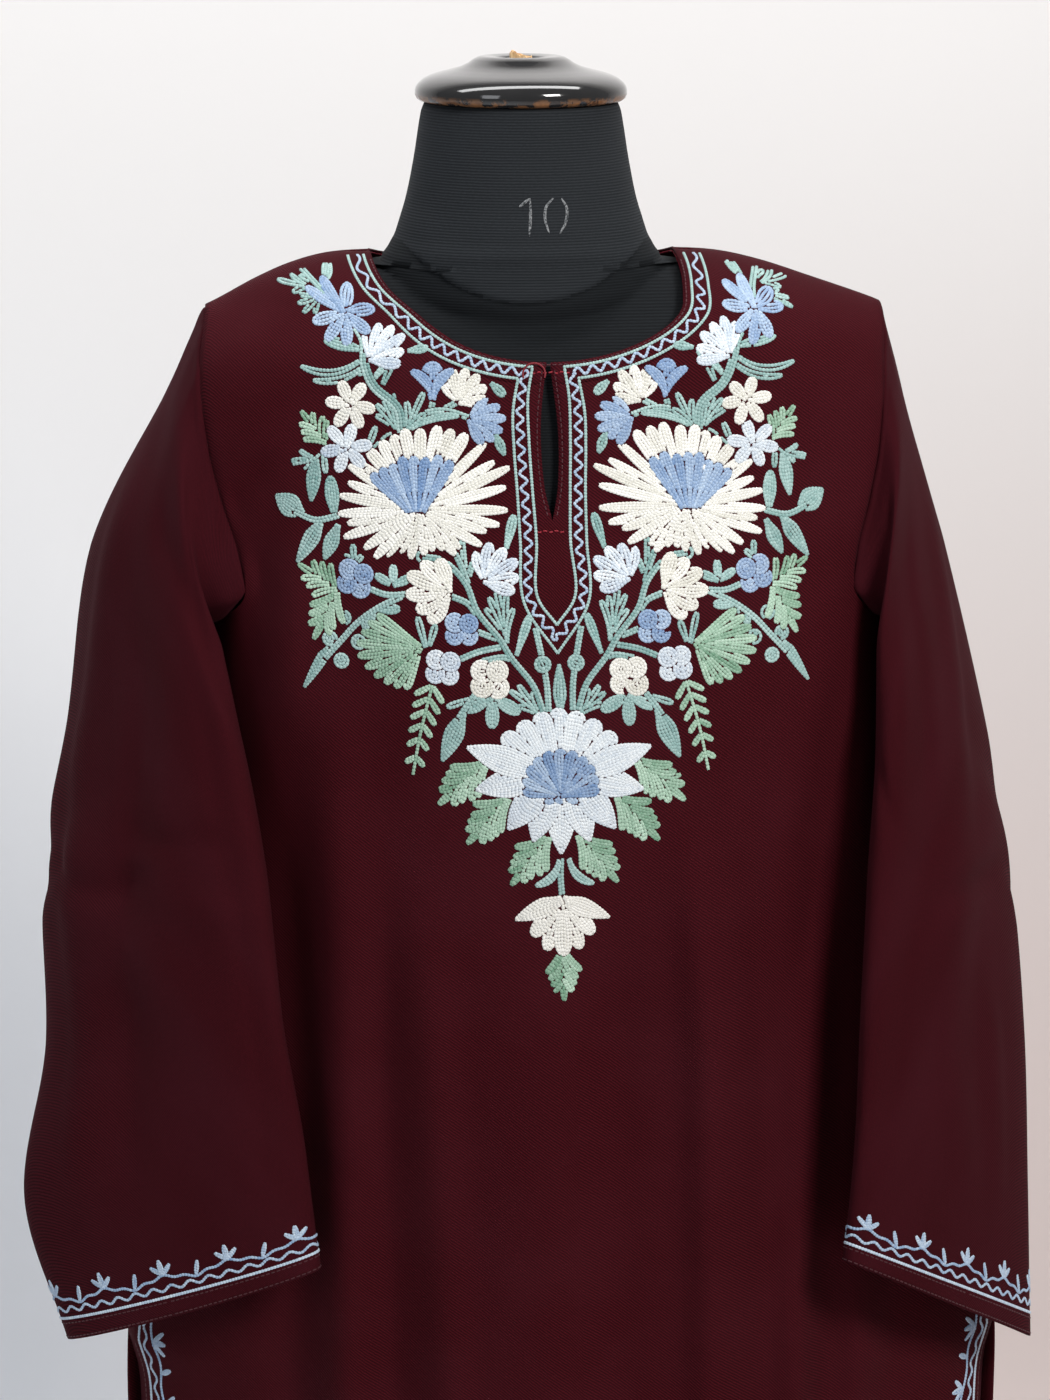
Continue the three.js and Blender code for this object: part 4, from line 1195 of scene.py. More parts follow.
def thicken(piece: bpy.types.Object, thickness: float) -> None:
    """Gives a sheet its thickness in metres to both sides with a Solidify modifier."""
    solid = piece.modifiers.new("thickness", "SOLIDIFY")
    solid.thickness, solid.offset, solid.use_even_offset = thickness, 0.0, False


# ---------------------------------------------------------------- the garment


@dataclass(frozen=True)
class GarmentSizes:
    """Mesh counts of the cloth pieces and its thickness in mm."""

    neck_columns: int = 28
    shoulder_columns: int = 32
    yoke_rows: int = 64
    body_rows: int = 110
    skirt_rows: int = 44
    sleeve_turns: int = 112
    sleeve_rows: int = 170
    cloth: float = 1.3
    facing: float = 0.9


class Garment:
    """The tunic: two panels, two sleeves and the facing of the neck."""

    def __init__(self, sizes: GarmentSizes) -> None:
        """Prepares the surfaces and materials of all the cloth."""
        self.sizes = sizes
        self.front = Panel(Side.FRONT, FRONT_CREASES)
        self.back = Panel(Side.BACK, BACK_CREASES)
        self.left = Sleeve(LEFT_SLEEVE, LEFT_FOLDS, LEFT_CREASES, 1, self.front, self.back)
        self.right = Sleeve(RIGHT_SLEEVE, RIGHT_FOLDS, RIGHT_CREASES, -1, self.front, self.back)
        self.wool = Wool("burgundy_wool_twill", "270409", "4A0E17", "4E1C25").make()
        # The sleeves take a darker copy of the body's wool: painted shade, for sleeves that turn away from
        # the light
        self.across = Wool("burgundy_wool_twill_sleeve_painted_shade", "250409", "450D16", "481A24").make()
        self.bright = Wool("maroon_facing_twill", "6A0E1E", "9C2238", "94404C").make()

    def half_places(self, panel: Panel) -> tuple[Array, Array]:
        """Places of half a panel's grid.

        Args:
            panel: front or back.

        Returns:
            The facing's places from neckline to facing edge, and the rest to the hem, each as
            columns by rows of x and z.
        """
        s = self.sizes
        tops = panel.tops(s.neck_columns)
        outer_half = NECK_HALF_WIDTH + FACING_WIDTH
        starts, facing = [], []
        for top in tops:
            share = top / NECK_HALF_WIDTH
            inner = np.array([top, panel.neckline(top, NECK_DROP[panel.side], NECK_HALF_WIDTH)])
            drop = NECK_DROP[panel.side] + FACING_WIDTH
            outer_x = outer_half * share
            dip = drop * math.sqrt(max(1 - share * share, 0))
            outer = np.array([outer_x, float(panel.shoulder(outer_x)) - dip])
            starts.append(outer)
            facing.append([blend(inner, outer, k / FACING_ROWS) for k in range(FACING_ROWS + 1)])
        for i in range(1, s.shoulder_columns + 1):
            x = blend(outer_half, SHOULDER_HALF_WIDTH, i / s.shoulder_columns)
            starts.append(np.array([x, float(panel.shoulder(x))]))
        columns = len(starts) - 1
        grid = []
        for i, start in enumerate(starts):
            neck_part = NECK_SHARE * i / s.neck_columns
            rest = NECK_SHARE + (1 - NECK_SHARE) * (i - s.neck_columns) / s.shoulder_columns
            share = neck_part if i <= s.neck_columns else rest
            yoke = panel.yoke_column(1.0 if i == columns else share, start, s.yoke_rows)
            steps = np.arange(1, s.body_rows + 1) / s.body_rows
            z = np.concatenate([
                blend(UNDERARM_Z, SIDE_SLIT_Z, steps),
                blend(SIDE_SLIT_Z, HEM_Z, np.arange(1, s.skirt_rows + 1) / s.skirt_rows),
            ])
            body = np.stack([share * panel.half_width(z), z], -1)
            grid.append(np.vstack([yoke, body]))
        return np.array(facing), np.array(grid)

    def keyhole_places(self, facing: Array, grid: Array) -> None:
        """Opens the front's centre column at the keyhole slit.

        Args:
            facing: places of the facing, changed in place.
            grid: places of the panel, changed in place.
        """
        rows = self.sizes.yoke_rows
        column = grid[0]
        beside = int(rows * KEYHOLE_SHARE)
        column[: beside + 1, 1] = np.linspace(column[0, 1], KEYHOLE_FOOT_Z, beside + 1)
        column[beside : rows + 1, 1] = np.linspace(KEYHOLE_FOOT_Z, UNDERARM_Z, rows - beside + 1)
        column[: beside + 1, 0] = np.maximum(Panel.keyhole.at(column[: beside + 1, 1], 0), 0)
        for i in range(1, KEYHOLE_EASE):
            ease = (1 - i / KEYHOLE_EASE) ** 2
            grid[i, : beside + 1, 0] += ease * column[: beside + 1, 0]
        facing[0, :, 0] = Panel.keyhole.at(facing[0, :, 1], 0)

    def panel_piece(self, name: str, panel: Panel) -> bpy.types.Object:
        """Makes one panel as a sheet without thickness."""
        facing, grid = self.half_places(panel)
        if panel.side is Side.FRONT:
            self.keyhole_places(facing, grid)
        bm = bmesh.new()
        for mirror in (1, -1):
            for places in (grid, facing):
                x, z = mirror * places[..., 0], places[..., 1]
                add_grid(bm, panel.point(x, z) * MM, panel.cloth_uv(x, z), panel.side.value * mirror > 0)
        bmesh.ops.remove_doubles(bm, verts=bm.verts, dist=WELD)
        return mesh_object(name, bm, self.wool)

    def sleeve_piece(self, name: str, sleeve: Sleeve) -> bpy.types.Object:
        """Makes one sleeve, open at both ends."""
        along = np.linspace(0, 1, self.sizes.sleeve_rows + 1)
        bm = bmesh.new()
        for side in (1, -1):
            turns = side * np.linspace(0, math.pi, self.sizes.sleeve_turns // 2 + 1)
            u, v = np.meshgrid(turns, along, indexing="ij")
            points = sleeve.point(u, v) * MM
            ahead = unit(points[:, 1] - points[:, 0])
            inside = -sleeve.outward(u[:, 0], v[:, 0] + 0.004)
            tuck = blend(TUCK_ABOVE, TUCK_BELOW, smooth(0.6, -0.6, np.cos(u[:, 0])))
            points[:, 0] += (inside * TUCK_IN - ahead * tuck[:, None]) * MM
            add_grid(bm, points, sheet_uv(points) * (side, 1), sleeve.mirror * side < 0)
        bmesh.ops.remove_doubles(bm, verts=bm.verts, dist=WELD)
        # the darker sleeve wool carries painted shade
        return mesh_object(name, bm, self.across)

    def facing_piece(self) -> bpy.types.Object:
        """Makes the turned facing that lies inside the neck edge."""
        bm = bmesh.new()
        depth = CLOTH / 2 + FACING_GAP + FACING_HALF
        for panel in (self.front, self.back):
            facing, grid = self.half_places(panel)
            if panel.side is Side.FRONT:
                self.keyhole_places(facing, grid)
            for mirror in (1, -1):
                x, z = mirror * facing[..., 0], facing[..., 1]
                outward = panel.outward(x, np.minimum(z, panel.shoulder(x) - 1.5))
                points = (panel.point(x, z) - outward * depth) * MM
                add_grid(bm, points, sheet_uv(points), panel.side.value * mirror > 0)
        bmesh.ops.remove_doubles(bm, verts=bm.verts, dist=WELD)
        return mesh_object("facing_cloth", bm, self.bright)

    def build(self) -> None:
        """Makes every cloth piece, gives it its thickness, hides the solid it replaces and attaches it to
        the root body.
        """
        for node, piece, flat, area in (
            ("front_panel", self.panel_piece("front_cloth", self.front), (0.62, 1.1), 0.58),
            ("back_panel", self.panel_piece("back_cloth", self.back), (0.62, 1.12), 0.6),
            ("sleeve_left", self.sleeve_piece("sleeve_left_cloth", self.left), (0.38, 0.56), 0.2),
            ("sleeve_right", self.sleeve_piece("sleeve_right_cloth", self.right), (0.38, 0.56), 0.2),
        ):
            thicken(piece, self.sizes.cloth * MM)
            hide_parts(node)
            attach(piece, "root")
        facing = self.facing_piece()
        thicken(facing, self.sizes.facing * MM)
        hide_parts("neck_facing")
        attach(facing, "root")


# ---------------------------------------------------------------- the embroidery


class Thread(Enum):
    """Colours of thread; the value names the piece that the colour's stitches are joined into."""

    CREAM = "embroidery_cream"
    ICE = "embroidery_ice"
    BLUE = "embroidery_blue"
    SAGE = "embroidery_sage"
    GREEN = "embroidery_green"
    BORDER = "embroidery_border"
    SEAM = "seam_stitches"
    TACK = "keyhole_tacks"


SILKS = {
    Thread.CREAM: Silk("cream_silk_thread", "DAD8CC", "FBFAF4"),
    Thread.ICE: Silk("ice_blue_silk_thread", "B4C5D8", "EFF5F8"),
    Thread.BLUE: Silk("blue_silk_thread", "6F90BC", "BCD0E6"),
    Thread.SAGE: Silk("sage_silk_thread", "78A29E", "BEDAD6"),
    Thread.GREEN: Silk("green_silk_thread", "74A084", "C0DDC8"),
    Thread.BORDER: Silk("variegated_border_silk", "7A9CC4", "DCE9F3"),
    Thread.SEAM: Silk("burgundy_sewing_thread", "2A0A12", "5A1F2A"),
    Thread.TACK: Silk("crimson_sewing_thread", "7A1020", "B8283A"),
}

# A chain stitch of length, width and height 1: it rises from the one before and is hollow in the middle
LINK_POINTS = np.array([
    (-0.56, -0.34, -0.15), (0.05, -0.52, -0.15), (0.54, -0.36, -0.15),
    (0.54, 0.36, -0.15), (0.05, 0.52, -0.15), (-0.56, 0.34, -0.15),
    (-0.44, -0.22, 0.6), (0.08, -0.36, 0.92), (0.46, -0.22, 1.0),
    (0.46, 0.22, 1.0), (0.08, 0.36, 0.92), (-0.44, 0.22, 0.6), (0.0, 0.0, 0.66),
])
LINK_FACES = np.array(
    [(i, (i + 1) % 6, 6 + (i + 1) % 6) for i in range(6)]
    + [(i, 6 + (i + 1) % 6, 6 + i) for i in range(6)]
    + [(6 + i, 6 + (i + 1) % 6, 12) for i in range(6)]
)


# Cells in mm that tell where the front is sewn already, from the lower corner of the bouquet; the
# most rows that a shape may have, and the number of points that a part must pass to be kept
CELL = 0.5
CELL_COUNTS = (900, 1000)
CELL_CORNER = (-225.0, 950.0)
SHAPE_ROWS = 60
SHORTEST_PART = 3


@dataclass(frozen=True)
class StitchSizes:
    """Sizes of the stitches in mm.

    The real links are near 1.3 mm long; they are coarsened here so that they can be seen.

    Attributes:
        link: length of a chain stitch along its row.
        width: its width.
        height: how far it stands up.
        pitch: distance between rows that fill a shape.
        sample: step between the points of a row, and the shortest row that is sewn.
        cloth_face: height of the cloth's outer face over the surface.
        overlap: length of a link against the step to the next.
        uneven: spread of the shade from stitch to stitch.
        mirror_shift: how far the mirrored half of the bouquet lies aside and up.
        plain_stitch: length of a stitch in sewing thread.
        plain_step: step from one such stitch to the next.
        plain_scale: its size against a chain stitch.
    """

    link: float = 2.1
    width: float = 2.05
    height: float = 0.7
    pitch: float = 1.7
    sample: float = 0.8
    cloth_face: float = 0.65
    overlap: float = 1.12
    uneven: float = 0.09
    mirror_shift: tuple[float, float] = (1.5, 0.8)
    plain_stitch: float = 2.1
    plain_step: float = 3.3
    plain_scale: float = 0.42


@dataclass
class Row:
    """A row of chain stitches before it lies on the cloth.

    Attributes:
        line: places on the surface, two numbers each.
        thread: its colour.
        tone: its shade from 0 to 1.
        surface: the cloth that it lies on.
        scale: size of its stitches against the usual ones.
        shape: number of the petal or stem that it fills, 0 for a row that nothing interrupts.
    """

    line: Array
    thread: Thread
    tone: float
    surface: Surface
    scale: float = 1.0
    shape: int = 0


class Stitcher:
    """Collects rows of stitches and turns them into one joined piece for each colour."""

    def __init__(self, sizes: StitchSizes, seed: int) -> None:
        """Starts with no rows; the seed is for the small unevenness of handwork."""
        self.sizes = sizes
        self.rng = np.random.default_rng(seed)
        self.rows: list[Row] = []

    def row(self, line: Array, thread: Thread, tone: float, surface: Surface, scale: float = 1.0,
            shape: int = 0) -> None:
        """Adds one row."""
        self.rows.append(Row(np.asarray(line, float), thread, tone, surface, scale, shape))

    def part_shapes(self) -> None:
        """Cuts each row where a shape that was sewn before already fills the cloth.

        Blue goes first, then the white flowers, the leaves and the stems, so that every shape
        keeps a clean outline with a thin line of cloth round it.
        """
        order = {Thread.BLUE: 0, Thread.CREAM: 1, Thread.ICE: 1, Thread.GREEN: 2, Thread.SAGE: 3}
        free = [row for row in self.rows if not row.shape]
        rows = sorted((row for row in self.rows if row.shape), key=lambda row: order[row.thread])
        taken = np.zeros(CELL_COUNTS, int)
        kept = []
        i = 0
        while i < len(rows):
            own = [row for row in rows[i : i + SHAPE_ROWS] if row.shape == rows[i].shape]
            marks = []
            for row in own:
                at = np.round((row.line - CELL_CORNER) / CELL).astype(int)
                clear = taken[at[:, 0], at[:, 1]] == 0
                ends = np.flatnonzero(np.diff(np.concatenate([[0], clear.astype(int), [0]])))
                for first, last in zip(ends[::2], ends[1::2]):
                    if last - first > SHORTEST_PART:
                        part = row.line[first:last]
                        kept.append(Row(part, row.thread, row.tone, row.surface, row.scale, row.shape))
                        marks.append(at[first:last])
            for at in marks:
                for dx in (-1, 0, 1):
                    for dz in (-1, 0, 1):
                        taken[at[:, 0] + dx, at[:, 1] + dz] = 1
            i += len(own)
        self.rows = free + kept

    def place(self, rows: list[Row], surface: Surface) -> tuple[Array, Array, Array, Array]:
        """Lays rows on their cloth and cuts them into stitches.

        Args:
            rows: rows of one surface.
            surface: that surface.

        Returns:
            Middles in mm, directions with the stitches' lengths, surface places, and tone with scale.
        """
        joined = np.vstack([row.line for row in rows])
        points = surface.point(joined[:, 0], joined[:, 1])
        middles, ways, places, shades = [], [], [], []
        start = 0
        for row in rows:
            stop = start + len(row.line)
            path, flat = points[start:stop], row.line
            start = stop
            lengths = distance_along(path)
            if lengths[-1] < self.sizes.sample:
                continue
            step = self.sizes.link * row.scale
            knots = (np.arange(int(lengths[-1] / step) + 3) - self.rng.uniform(0, 1)) * step
            knots = np.clip(knots, 0, lengths[-1])
            knots = knots[np.append(True, np.diff(knots) > 0.25 * step)]
            if len(knots) < 2:
                continue
            at = read_along(knots, lengths, path)
            half = (knots[1:] + knots[:-1]) / 2
            count = len(half)
            middles.append(read_along(half, lengths, path))
            ways.append(np.diff(at, axis=0))
            places.append(read_along(half, lengths, flat))
            tone = row.tone + self.rng.normal(0, self.sizes.uneven, count)
            shades.append(np.stack([np.clip(tone, 0, 1), np.full(count, row.scale)], -1))
        return tuple(np.vstack(part) for part in (middles, ways, places, shades))

    def build(self, slot: str) -> None:
        """Makes one piece for each colour, with the material of its silk."""
        s = self.sizes
        self.part_shapes()
        for thread in Thread:
            points, tones = [], []
            surfaces = {id(row.surface): row.surface for row in self.rows if row.thread is thread}
            for surface in surfaces.values():
                rows = [row for row in self.rows if row.thread is thread and row.surface is surface]
                middle, way, place, shade = self.place(rows, surface)
                normal = surface.outward(place[:, 0], place[:, 1])
                along = unit(way)
                aside = unit(np.cross(normal, along))
                normal = unit(np.cross(along, aside))
                size = shade[:, 1:2, None]
                length = np.linalg.norm(way, axis=1)[:, None, None] * s.overlap
                base = middle + normal * s.cloth_face
                shape = (
                    base[:, None, :]
                    + along[:, None, :] * LINK_POINTS[None, :, 0:1] * length
                    + aside[:, None, :] * LINK_POINTS[None, :, 1:2] * s.width * size
                    + normal[:, None, :] * LINK_POINTS[None, :, 2:3] * s.height * size
                )
                points.append(shape.reshape(-1, 3))
                tones.append(np.repeat(shade[:, 0], len(LINK_POINTS)))
            if not points:
                continue
            vertices = np.vstack(points) * MM
            links = len(vertices) // len(LINK_POINTS)
            shift = np.arange(links)[:, None, None] * len(LINK_POINTS)
            faces = (LINK_FACES[None] + shift).reshape(-1, 3)
            piece = array_object(thread.value, vertices, faces, SILKS[thread].make(), np.concatenate(tones))
            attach(piece, "root")


class Motifs:
    """Flowers, leaves and borders in rows of chain stitch, all placed in mm on the front panel.

    Angles are in degrees, 0 towards the wearer's left and 90 up.
    """

    def __init__(self, stitcher: Stitcher, surface: Surface) -> None:
        """Keeps what collects the rows and the cloth under the motifs."""
        self.stitcher, self.surface = stitcher, surface
        self.rng = np.random.default_rng(21)
        self.mirror, self.shape = 1, 0

    def sew(self, line: Array, thread: Thread, tone: float, scale: float = 1.0) -> None:
        """Adds a row of the current shape, on the mirrored side when that is being sewn."""
        line = np.array(line, float)
        if self.mirror < 0:
            aside, up = self.stitcher.sizes.mirror_shift
            line = np.stack([aside - line[:, 0], line[:, 1] + up], -1)
        line = line[line[:, 1] < self.surface.shoulder(line[:, 0]) - (3.0 if self.shape else 0.6)]
        if len(line) > 3:
            self.stitcher.row(line, thread, tone, self.surface, scale, self.shape)

    def tone(self, middle: float = 0.55, spread: float = 0.16) -> float:
        """A shade for one row or motif."""
        return float(np.clip(self.rng.normal(middle, spread), 0.05, 0.98))

    def stem(
        self, points: Sequence[tuple[float, float]], rows: int = 2, thread: Thread = Thread.SAGE
    ) -> None:
        """Sews a stem through points, of one or more rows side by side."""
        self.shape += 1
        points = np.array(points, float)
        steps = int(max(8, distance_along(points)[-1] / self.stitcher.sizes.sample))
        share = np.linspace(0, 1, steps + 1)
        straight = points[0] + (points[1] - points[0]) * share[:, None]
        line = catmull(points, share, True) if len(points) > 2 else straight
        ahead = np.gradient(line, axis=0)
        aside = unit(np.stack([-ahead[:, 1], ahead[:, 0]], -1))
        for k in range(rows):
            offset = (k - (rows - 1) / 2) * self.stitcher.sizes.pitch
            self.sew(line + aside * offset, thread, self.tone(0.5))

    def petal(
        self,
        thread: Thread,
        base: tuple[float, float],
        angle: float,
        length: float,
        width: float,
        foot: float = 0.35,
        tip: float = 0.3,
        bend: float = 0.0,
        tone: float = 0.55,
    ) -> None:
        """Sews a petal or leaf that is filled with rows along its length.

        Args:
            thread: its colour.
            base: where it starts.
            angle: direction of its axis.
            length: from base to tip.
            width: at its widest.
            foot: share of the width at the base.
            tip: share of the length over which the end rounds off; long gives a point.
            bend: sideways bow of the axis against its length.
            tone: its mean shade.
        """
        self.shape += 1
        pitch = self.stitcher.sizes.pitch
        count = max(1, round(width / pitch))
        t = np.linspace(0, 1, max(5, int(length / self.stitcher.sizes.sample)))
        wide = np.minimum(t / max(1 - tip, 0.05), 1)
        grow = foot + (1 - foot) * wide * wide * (3 - 2 * wide)
        close = np.clip((t - (1 - tip)) / tip, 0, 1)
        pointed = tip > 0.45
        rounding = 1 - close**1.7 if pointed else np.sqrt(np.maximum(1 - close**2, 0))
        half = (width - pitch) / 2 * grow * rounding
        turn = math.radians(angle)
        ahead = np.array([math.cos(turn), math.sin(turn)])
        aside = np.array([-ahead[1], ahead[0]])
        bow = 4 * bend * length * t * (1 - t)
        axis = np.array(base) + np.outer(t * length, ahead) + np.outer(bow, aside)
        own = self.tone(tone, 0.1)
        for k in range(count):
            share = 0.0 if count == 1 else -1 + 2 * k / (count - 1)
            line = axis + np.outer(share * half, aside)
            outer = k in (0, count - 1)
            room = 2 * half / max(count - 1, 1) >= (0.26 if pointed else 0.52) * pitch
            keep = np.ones(len(t), bool) if outer or count < 3 else room
            if k == count // 2:
                keep = np.ones(len(t), bool)
            if keep.sum() > 3:
                first, last = np.flatnonzero(keep)[[0, -1]]
                self.sew(line[first : last + 1], thread, own + self.rng.normal(0, 0.07))

    def leaf(self, x: float, z: float, angle: float, length: float, width: float, bend: float = 0.0,
             foot: float = 0.5, tip: float = 0.3) -> None:
        """Sews a narrow sage leaf; its numbers are those of a petal."""
        self.petal(Thread.SAGE, (x, z), angle, length, width, foot, tip, bend, 0.5)

    def tulip(self, x: float, z: float, angle: float, size: float) -> None:
        """Sews a blue bud of two leaning petals and one before them."""
        for lean, share, wide in ((-36, 0.98, 0.3), (36, 0.98, 0.3), (0, 1.0, 0.66)):
            self.petal(Thread.BLUE, (x, z), angle + lean, size * share, size * wide, 0.3, 0.4,
                       bend=-lean / 260, tone=0.4)

    def trefoil(self, x: float, z: float, angle: float, size: float) -> None:
        """Sews three broad sage leaves that meet at one point."""
        for lean in (-62, 0, 62):
            self.petal(Thread.SAGE, (x, z), angle + lean, size, size * 0.46, 0.35, 0.4, tone=0.55)

    def hand(self, x: float, z: float, angle: float, size: float) -> None:
        """Sews a broad green leaf of ten fingers."""
        for i, lean in enumerate(np.linspace(-42, 64, 10)):
            self.petal(Thread.GREEN, (x, z), angle + lean, size * (1 - 0.3 * abs(lean / 62)), 5.4, 0.5, 0.2,
                       tone=0.75 if i % 2 else 0.45)

    def fan(self, thread: Thread, x: float, z: float, angle: float, size: float, spread: float,
            petals: int = 6) -> None:
        """Sews a half-open flower whose rounded petals spread from one point.

        Args:
            thread: its colour.
            x: place of that point.
            z: its height.
            angle: where the flower looks.
            size: length of the middle petals.
            spread: angle between the outermost petals.
            petals: how many.
        """
        for i in range(petals):
            share = i / (petals - 1) - 0.5
            turn = angle + spread * share
            length = size * (1.0 - 0.22 * abs(2 * share) ** 1.5) * self.rng.uniform(0.94, 1.06)
            width = 2 * size * math.tan(math.radians(spread / (petals - 1) / 2)) * 0.82
            self.petal(thread, (x, z), turn, length, max(width, 3.4), 0.12, 0.34,
                       bend=0.05 * share, tone=0.5 + 0.25 * (i % 2))

    def star(self, thread: Thread, x: float, z: float, size: float, petals: int, turn: float,
             width: float) -> None:
        """Sews an open flower of narrow-footed petals round a point.

        Args:
            thread: its colour.
            x: its middle.
            z: height of its middle.
            size: length of a petal.
            petals: how many.
            turn: direction of the first petal.
            width: width of a petal against its length.
        """
        for i in range(petals):
            angle = turn + 360 / petals * i + self.rng.normal(0, 4)
            length = size * self.rng.uniform(0.92, 1.08)
            self.petal(thread, (x, z), angle, length, max(size * width, 3.5), 0.3, 0.36, tone=0.6)

    def disc(self, thread: Thread, x: float, z: float, radius: float, tone: float = 0.55) -> None:
        """Sews a filled round as rings of stitches, the outermost first."""
        self.shape += 1
        pitch = self.stitcher.sizes.pitch
        own = self.tone(tone, 0.08)
        rings = max(1, math.ceil(radius / pitch - 0.2))
        start = self.rng.uniform(0, 2 * math.pi)
        for k in range(rings):
            reach = max(radius - pitch / 2 - k * pitch, 0.6)
            steps = max(8, int(2 * math.pi * reach / self.stitcher.sizes.sample))
            turn = start + np.linspace(0, 2 * math.pi, steps)
            line = np.stack([x + reach * np.cos(turn), z + reach * np.sin(turn)], -1)
            self.sew(line, thread, own + self.rng.normal(0, 0.05))

    def clover(self, thread: Thread, x: float, z: float, lobe: float, turn: float, lobes: int = 4) -> None:
        """Sews a flower of round lobes that touch in the middle."""
        for i in range(lobes):
            angle = math.radians(turn + 360 / lobes * i + self.rng.normal(0, 3))
            reach = lobe * 0.96
            self.disc(thread, x + reach * math.cos(angle), z + reach * math.sin(angle),
                      lobe * self.rng.uniform(0.95, 1.04), 0.5 + 0.2 * (i % 2))

    def spray(self, x: float, z: float, angle: float, size: float, fingers: int, spread: float,
              width: float) -> None:
        """Sews a sage tuft of blunt fingers that meet at one point."""
        for i in range(fingers):
            share = i / (fingers - 1) - 0.5
            length = size * (1 - 0.35 * abs(2 * share)) * self.rng.uniform(0.9, 1.08)
            self.petal(Thread.SAGE, (x, z), angle + spread * share, length, width, 0.45, 0.2,
                       bend=-0.12 * share, tone=0.5)

    def cut_leaf(self, x: float, z: float, angle: float, length: float, teeth: int, width: float) -> None:
        """Sews a green leaf with blunt teeth along both sides and one at its tip.

        Args:
            x: where its stalk starts.
            z: height of that.
            angle: direction of the tip.
            length: from stalk to tip.
            teeth: how many on each side.
            width: its width against the usual one.
        """
        turn = math.radians(angle)
        ahead = np.array([math.cos(turn), math.sin(turn)])
        for i in range(teeth):
            share = 0.02 + 0.6 * i / teeth
            at = np.array([x, z]) + ahead * length * share
            reach = length * (0.56 - 0.2 * i / teeth) * (0.85 + 0.15 * width)
            for side in (1, -1):
                lean = side * (40 - 16 * i / teeth) * width + self.rng.normal(0, 2.5)
                self.petal(Thread.GREEN, tuple(at), angle + lean, reach, length * 0.1 + 1.4, 0.7, 0.22,
                           bend=-0.06 * side, tone=0.75 if side > 0 else 0.35)
        self.petal(Thread.GREEN, (x, z), angle, length, length * 0.07 + 2.2, 0.9, 0.25, tone=0.3)

    def fern(self, points: Sequence[tuple[float, float]], pairs: int, size: float) -> None:
        """Sews a green stalk with pairs of small leaves."""
        self.stem(points, 1, Thread.GREEN)
        line = catmull(points, np.linspace(0, 1, pairs + 1), True)
        ahead = np.gradient(line, axis=0)
        for i in range(pairs):
            angle = math.degrees(math.atan2(ahead[i, 1], ahead[i, 0]))
            for side in (1, -1):
                self.petal(Thread.GREEN, tuple(line[i]), angle + side * 46, size * (1 - 0.45 * i / pairs),
                           3.5, 0.5, 0.3, tone=0.6)

    def bud(self, x: float, z: float, angle: float, length: float, width: float, point: float) -> None:
        """Sews a plump sage leaf or bud."""
        self.petal(Thread.SAGE, (x, z), angle, length, width, 0.25, point, tone=0.45)

    def berries(self, points: Sequence[tuple[float, float]], radius: float) -> None:
        """Sews round berries, each on its place."""
        for x, z in points:
            self.disc(Thread.SAGE, x, z, radius, 0.5)

    def daisy(self, x: float, z: float) -> None:
        """Sews the large cream flower with its blue fan.

        Args:
            x: point from which the blue fan opens.
            z: its height.
        """
        reach = ((-190, 44), (-152, 42), (-118, 28), (-92, 21), (-62, 25), (-35, 34), (-12, 43), (18, 54),
                 (38, 52), (60, 49), (90, 44), (115, 42), (140, 41), (170, 44))
        angles, ends = zip(*reach)
        for i, angle in enumerate(np.linspace(-189, 161, 34)):
            crown = 46 < angle < 138
            turn = math.radians(angle)
            start = 22.0 if crown else 2.0
            foot = (x + start * math.cos(turn), z + start * math.sin(turn))
            long = float(np.interp(angle, angles, ends)) + (0.8 if crown else 2.6) * math.sin(i * 2.6)
            wide, narrow, tip = (7.0, 0.75, 0.22) if crown else (6.0, 0.4, 0.4)
            self.petal(Thread.CREAM, foot, angle + 2.5 * math.sin(i * 1.7), long - start, wide, narrow, tip,
                       tone=0.6 + 0.2 * (i % 2))
        for i, angle in enumerate(np.linspace(63, 138, 8)):
            foot = (x + 2.4 - 1.2 * i, z - 1.0)
            long = 32 - 0.75 * i + 1.2 * math.sin(i * 2.1)
            self.petal(Thread.BLUE, foot, angle - 4, long, 6.6, 0.25, 0.16, tone=0.3 + 0.3 * (i % 2))

    def lotus(self, x: float, z: float) -> None:
        """Sews the large ice-blue flower with a blue dome over its middle.

        Args:
            x: its middle.
            z: height of the middle.
        """
        def from_rim(
            angle: float, reach: float, width: float, foot: float, tip: float, tone: float
        ) -> None:
            """Sews one petal outwards from the rim of the dome."""
            turn = math.radians(angle)
            start = np.array([x + 17.5 * math.cos(turn), z + 11.5 * math.sin(turn)])
            end = np.array([x + reach * math.cos(turn), z + reach * math.sin(turn)])
            way = end - start
            self.petal(Thread.ICE, tuple(start), math.degrees(math.atan2(way[1], way[0])),
                       float(np.hypot(*way)), width, foot, tip, tone=tone)

        for angle, reach in ((17, 53), (163, 54), (-11, 47), (190, 48), (-46, 43), (226, 43),
                             (-68, 41), (247, 41), (-91, 45)):
            from_rim(angle, reach, 16.5, 0.8, 0.62, 0.8)
        for angle, reach in ((37, 38), (143, 39), (56, 37), (125, 37), (74, 37), (107, 37), (91, 37.5)):
            from_rim(angle, reach, 11.5, 0.75, 0.26, 0.9 if angle != 91 else 0.75)
        for i, angle in enumerate(np.linspace(10, 170, 11)):
            self.petal(Thread.BLUE, (x, z - 12), angle, 20 + 6.5 * math.sin(math.radians(angle)), 7.4, 0.12,
                       0.16, tone=0.3 + 0.35 * (i % 2))
        for angle in (-18, -52, -90, -128, -162):
            length = 12 + 4 * abs(math.cos(math.radians(angle)))
            self.petal(Thread.BLUE, (x, z - 4), angle, length, 8.2, 0.5, 0.3, tone=0.75)

